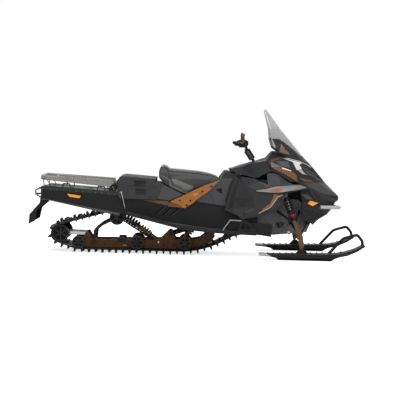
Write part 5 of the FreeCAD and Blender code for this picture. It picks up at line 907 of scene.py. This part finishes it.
for face in shape.faces[:] + seams.faces[:]:
    face.smooth = True
bmesh.ops.subdivide_edges(shape, edges=shape.edges, cuts=1, use_grid_fill=True)
bmesh.ops.smooth_vert(shape, verts=shape.verts, factor=0.5, use_axis_x=True, use_axis_y=True, use_axis_z=True)
bpy.data.objects.remove(pad)
cover = new_piece("seat_cover", shape, seat_vinyl, "body")
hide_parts("seat")
piping = finish("seat_piping", (0.030, 0.030, 0.032), 0.45, shine=0.11, grain=900.0, depth=0.0006,
                wear=0.0, dust=0.0)
new_piece("seat_piping", seams, piping, "body")

# Lower bodywork. Painted orange braces bolt the seat's side covers and tank covers to the tunnel, with
# grey grained covers between them and a vent under the tank, painted near-black as painted shade in its
# opening.
dress(finish("panel_grey", (0.062, 0.063, 0.065), 0.48, grain=420.0, depth=0.0004, dust=0.08), "side_covers")
# The vent under the tank is painted near-black: painted shade in its opening.
tank_paint = [((0.006, 0.006, 0.006), [[(192, 645), (250, 660), (252, 608), (236, 608)]]),
              ((0.020, 0.020, 0.021), stripe([(131, 616), (188, 493)], 5)
               + stripe([(324, 696), (283, 526)], 5) + stripe([(22, 548), (60, 605), (131, 616)], 6)),
              ((0.030, 0.030, 0.031), [[(324, 696), (366, 780), (366, 500), (283, 526)]])]
dress(finish("tank_grey", (0.056, 0.057, 0.059), 0.46, grain=420.0, depth=0.0004, dust=0.08,
             paint=tank_paint), "tank_covers")
brace_paint = [((0.42, 0.20, 0.075), [[(-31, 591), (-7, 607), (23, 605), (41, 599), (-6, 574)]]),
               ((0.130, 0.060, 0.028), [[(-268, 458), (-268, 520), (-180, 500), (-120, 470), (-150, 440)]]
                + stripe([(18, 586), (180, 690)], 7)),
               ((0.24, 0.115, 0.055), [[(60, 660), (232, 770), (232, 700), (120, 632)]])]
dress(finish("brace_orange", (0.32, 0.120, 0.032), 0.36, metallic=0.1, shine=0.11, wear=0.4,
             edge_colour=(0.62, 0.32, 0.14), dust=0.08, paint=brace_paint), "side_braces")
bolts_on("brace_bolts", "side_braces", ((-150, 531), (-50, 531), (-85, 485), (150, 672), (60, 622)), 0.0095,
         bolt_black, sides=12)

# Knee panels, footwells and toe holds. Satin black mouldings, the knee panels with a lighter grey painted
# highlight low down, with a pale strap at each toe hold and plastic rivets along the footwell's edge.
knee_strip_and_highlight = [((0.014, 0.014, 0.015), [[(306, 464), (400, 800), (425, 800), (352, 440)]]),
              # A lighter grey patch low on the knee panels: painted highlight.
              ((0.045, 0.045, 0.046), [[(395, 391), (554, 472), (576, 462), (439, 381)]])]
dress(finish("knee_black", (0.022, 0.022, 0.023), 0.36, shine=0.13, wear=0.25, dust=0.06, paint=knee_strip_and_highlight),
      "knee_panels")
dress(finish("body_black", (0.016, 0.016, 0.017), 0.4), "lower_panels")
dress(finish("strap_grey", (0.19, 0.19, 0.19), 0.42, metallic=0.3, wear=0.4), "toe_straps")
dress(bracket_black, "toe_brackets")
well_rivets = ((330, 215), (420, 222), (520, 224), (620, 220), (700, 212), (700, 300))
bolts_on("footwell_rivets", "lower_panels", well_rivets, 0.007, bolt_black)

# Engine bay. Two rounded near-black blocks close the bay behind the hood's side openings and over the
# front frame, as painted shade inside the bay; nothing moving comes near them.
bay_shade = bmesh.new()
block(bay_shade, (560, -190, 700), (900, 190, 842), 12)
block(bay_shade, (840, -170, 560), (1030, 170, 770), 12)
# Near-black and plain, with no wear or dust: painted shade inside the bay.
bay_shade_black = finish("bay_shade_black", (0.007, 0.007, 0.007), 0.6, wear=0.0, dust=0.0)
new_piece("bay_shade_blocks", bay_shade, bay_shade_black, "body")

# Console, hood and side panels. Dark grey mouldings with a copper flash and a cream line, the side panels
# under a thin clear coat, held by quarter-turn screws.
COPPER = (0.155, 0.076, 0.039)
BLADE_PALE = (0.42, 0.41, 0.40)
BLADE_GREY = (0.23, 0.235, 0.235)
dress(finish("console_grey", (0.026, 0.026, 0.027), 0.6, shine=0.03, wear=0.2, dust=0.08), "console")
blade_line = [(862, 962), (936, 944), (1000, 930), (1060, 903), (1115, 873)]
blade_areas = [[(961, 869), (993, 884), (1020, 848), (976, 847)],
               [(976, 847), (1020, 848), (1051, 812), (1021, 811)],
               [(1021, 811), (1051, 812), (1088, 798)]] + stripe(blade_line, 7)
copper_areas = [[(715, 879), (818, 867), (819, 823), (745, 854)],
                [(818, 867), (907, 840), (909, 774), (819, 823)],
                [(907, 840), (959, 812), (976, 735), (909, 774)],
                [(959, 812), (997, 776), (1160, 741), (976, 735)]]
nose_edge = [(1101, 733), (1243, 714), (1381, 590), (1254, 617), (1027, 716)]
hood_paint = [((0.034, 0.035, 0.037), [[(715, 879), (818, 967), (930, 940), (1000, 776), (907, 840)]]),
              (COPPER, copper_areas), (BLADE_PALE, blade_areas), ((0.045, 0.045, 0.046), [nose_edge]),
              # Pale line along the hood's front edge: painted highlight.
              ((0.20, 0.20, 0.20), stripe([(1150, 778), (1273, 714), (1392, 597)], 5)),
              ((0.100, 0.050, 0.034), [[(687, 906), (730, 952), (789, 953), (731, 908)],
                                       [(730, 952), (832, 976), (789, 953)],
                                       [(760, 870), (690, 900), (731, 908), (800, 868)]]),
              ((0.010, 0.010, 0.011), stripe([(700, 870), (745, 850), (819, 818), (905, 768), (970, 728),
                                              (1160, 738)], 6) + stripe([(590, 890), (700, 872)], 4)),
              ((0.70, 0.70, 0.69), [[(817, 873), (870, 858), (914, 842), (910, 836), (822, 859)]])]
dress(finish("hood_dark", (0.028, 0.028, 0.030), 0.55, shine=0.02, wear=0.25, dust=0.0,
             paint=hood_paint), "hood")
side_paint = [(BLADE_GREY, [[(578, 647), (672, 666), (688, 632), (578, 638)],
                            [(672, 666), (759, 692), (783, 632), (688, 632)],
                            [(759, 692), (876, 700), (907, 652), (783, 632)],
                            [(876, 700), (993, 710), (979, 663), (907, 652)],
                            [(993, 710), (1066, 685), (979, 663)]]),
              ((0.30, 0.125, 0.060), [[(687, 652), (782, 676), (836, 679), (822, 659), (783, 636),
                                       (717, 637)]]),
              ((0.010, 0.010, 0.011), stripe([(578, 633), (688, 627), (783, 627), (907, 646), (979, 657),
                                              (1066, 680)], 6)),
              ((0.22, 0.100, 0.038), [[(747, 620), (806, 606), (785, 591), (738, 575)],
                                      [(785, 591), (738, 575), (713, 524), (750, 532)],
                                      [(750, 532), (713, 524), (649, 474), (714, 494)],
                                      [(714, 494), (649, 474), (635, 448)]]),
              ((0.50, 0.44, 0.35), stripe([(830, 610), (785, 591), (755, 543), (718, 489), (606, 427)], 7)),
              ((0.018, 0.018, 0.019), [[(405, 756), (476, 700), (550, 562), (575, 493), (409, 396)]])]
dress(finish("side_dark", (0.026, 0.026, 0.028), 0.40, shine=0.16, coat=0.06, wear=0.25, dust=0.06,
             paint=side_paint), "side_panels")
dress(finish("vent_grey", (0.036, 0.037, 0.040), 0.42, shine=0.13, wear=0.25, dust=0.06), "vent_panels")
dress(finish("blade_silver", (0.56, 0.545, 0.53), 0.3, shine=0.13, coat=0.4, wear=0.2,
             edge_colour=(0.75, 0.74, 0.72), dust=0.05), "lamp_trim")
bolts_on("panel_screws", "side_panels", ((500, 720), (820, 560), (700, 440), (470, 420)), 0.009, bolt_black,
         sides=12)
bolts_on("hood_screws", "hood", ((600, 850), (1060, 760)), 0.007, bolt_black, sides=12)

# Headlamps. Glossy dark covers under a pale light bar, with three small round lamps on each side: a grey
# ribbed lens in a black turned bezel.
BEZEL = ((0.0095, 0.0), (0.0095, 0.0050), (0.0110, 0.0060), (0.0145, 0.0045), (0.0160, 0.0), (0.0095, 0.0))
LENS = ((0.0, 0.0042), (0.004, 0.0040), (0.0075, 0.0030), (0.0095, 0.0012), (0.0095, 0.0), (0.0, 0.0))
lamp_paint = [((0.055, 0.060, 0.068), [[(760, 930), (880, 930), (900, 870), (830, 880)]]),
              (COPPER, copper_areas),
              (BLADE_PALE, blade_areas)]
lamp_glass = finish("lamp_glass", (0.006, 0.006, 0.007), 0.08, shine=0.3, grain=60.0, depth=0.0002, wear=0.0,
                    dust=0.0, coat=0.3, paint=lamp_paint)
dress(lamp_glass, "headlamps")
lenses = bmesh.new()
bezels = bmesh.new()
for spot, normal in spots_on("headlamps", ((1062, 856), (1098, 836), (1130, 818))):
    placement = facing(spot - normal * 0.001, normal)
    turned(bezels, BEZEL, placement, 24)
    turned(lenses, LENS, placement, 24)
lamp_lens = finish("lamp_lens", (0.085, 0.088, 0.092), 0.12, shine=0.4, grain=300.0, depth=0.0004,
                   wear=0.0, dust=0.0)
new_piece("lamp_lenses", lenses, lamp_lens, "body")
new_piece("lamp_bezels", bezels, lamp_glass, "body")

# Nose and bumper. Black moulded nose with a grey intake and a pale painted highlight along its edge that
# carries on from the hood, behind a bumper of bent and polished tube.
nose_paint = [((0.034, 0.034, 0.035), [nose_edge]),
              # Pale line along the nose's edge: painted highlight.
              ((0.20, 0.20, 0.20), stripe([(1262, 716), (1392, 597), (1398, 552)], 6)),
              ((0.055, 0.055, 0.056), [[(1006, 621), (1066, 570), (1136, 565), (1077, 617)]])]
dress(finish("nose_black", (0.012, 0.012, 0.013), 0.36, shine=0.13, dust=0.06, paint=nose_paint), "nose")
dress(finish("bumper_metal", (0.40, 0.40, 0.41), 0.36, metallic=0.8, grain=150.0, depth=0.0001, wear=0.0,
             dust=0.05), "front_bumper")

# Windshield. Smoke-tinted moulded screen with a darker foot and a pale painted highlight along its rear edge
# that carries on down the black fairing it is screwed to.
SCREEN_FOOT = 1.02
SCREEN_TOP = 1.40
FOOT_ALPHA = 0.66
TOP_ALPHA = 0.50
screen_glass, tree = new_material("screen_glass")
moulded = use_group(tree, grain_group, Scale=35.0)
place = add_node(tree, "TexCoord")
split = add_node(tree, "SeparateXYZ", Vector=place.outputs["Object"])
height = ranged(tree, split.outputs["Z"], SCREEN_FOOT, SCREEN_TOP)
shade = mix_colour(tree, height, (0.27, 0.27, 0.275), (0.42, 0.42, 0.425))
# Pale, more opaque band along the rear edge: painted highlight.
rim = side_mask(tree, stripe([(640, 1400), (690, 1270), (694, 1145), (737, 1066)], 26))
shade = mix_colour(tree, rim, shade, (0.66, 0.66, 0.67))
clear = ranged(tree, height, start=FOOT_ALPHA, end=TOP_ALPHA)
bump = add_node(tree, "Bump", Height=moulded.outputs["Height"], Distance=0.0001)
set_node(tree, tree.nodes["Principled BSDF"], Base_Color=shade, Specular_IOR_Level=0.4,
         Roughness=ranged(tree, moulded.outputs["Mottle"], 0.3, 0.7, 0.05, 0.14),
         Alpha=joined(tree, "MAXIMUM", clear, joined(tree, "MULTIPLY", rim, 0.6)),
         Normal=bump.outputs["Normal"])
dress(screen_glass, "windshield")
# The pale band on the fairing carries on the screen's painted highlight.
trim_paint = [((0.30, 0.30, 0.30), [[(680, 1150), (735, 1060), (762, 1060), (716, 1150)]]),
              ((0.150, 0.105, 0.090), [[(808, 1099), (904, 989), (792, 1017)]]),
              ((0.045, 0.045, 0.046), stripe([(740, 1138), (796, 1140), (939, 1067), (1041, 964)], 9))]
dress(finish("trim_black", (0.020, 0.020, 0.021), 0.36, shine=0.13, wear=0.2, dust=0.05, paint=trim_paint),
      "windshield_trim")
bolts_on("screen_screws", "windshield_trim", ((762, 1092), (850, 1042), (950, 990)), 0.006, bolt_black)
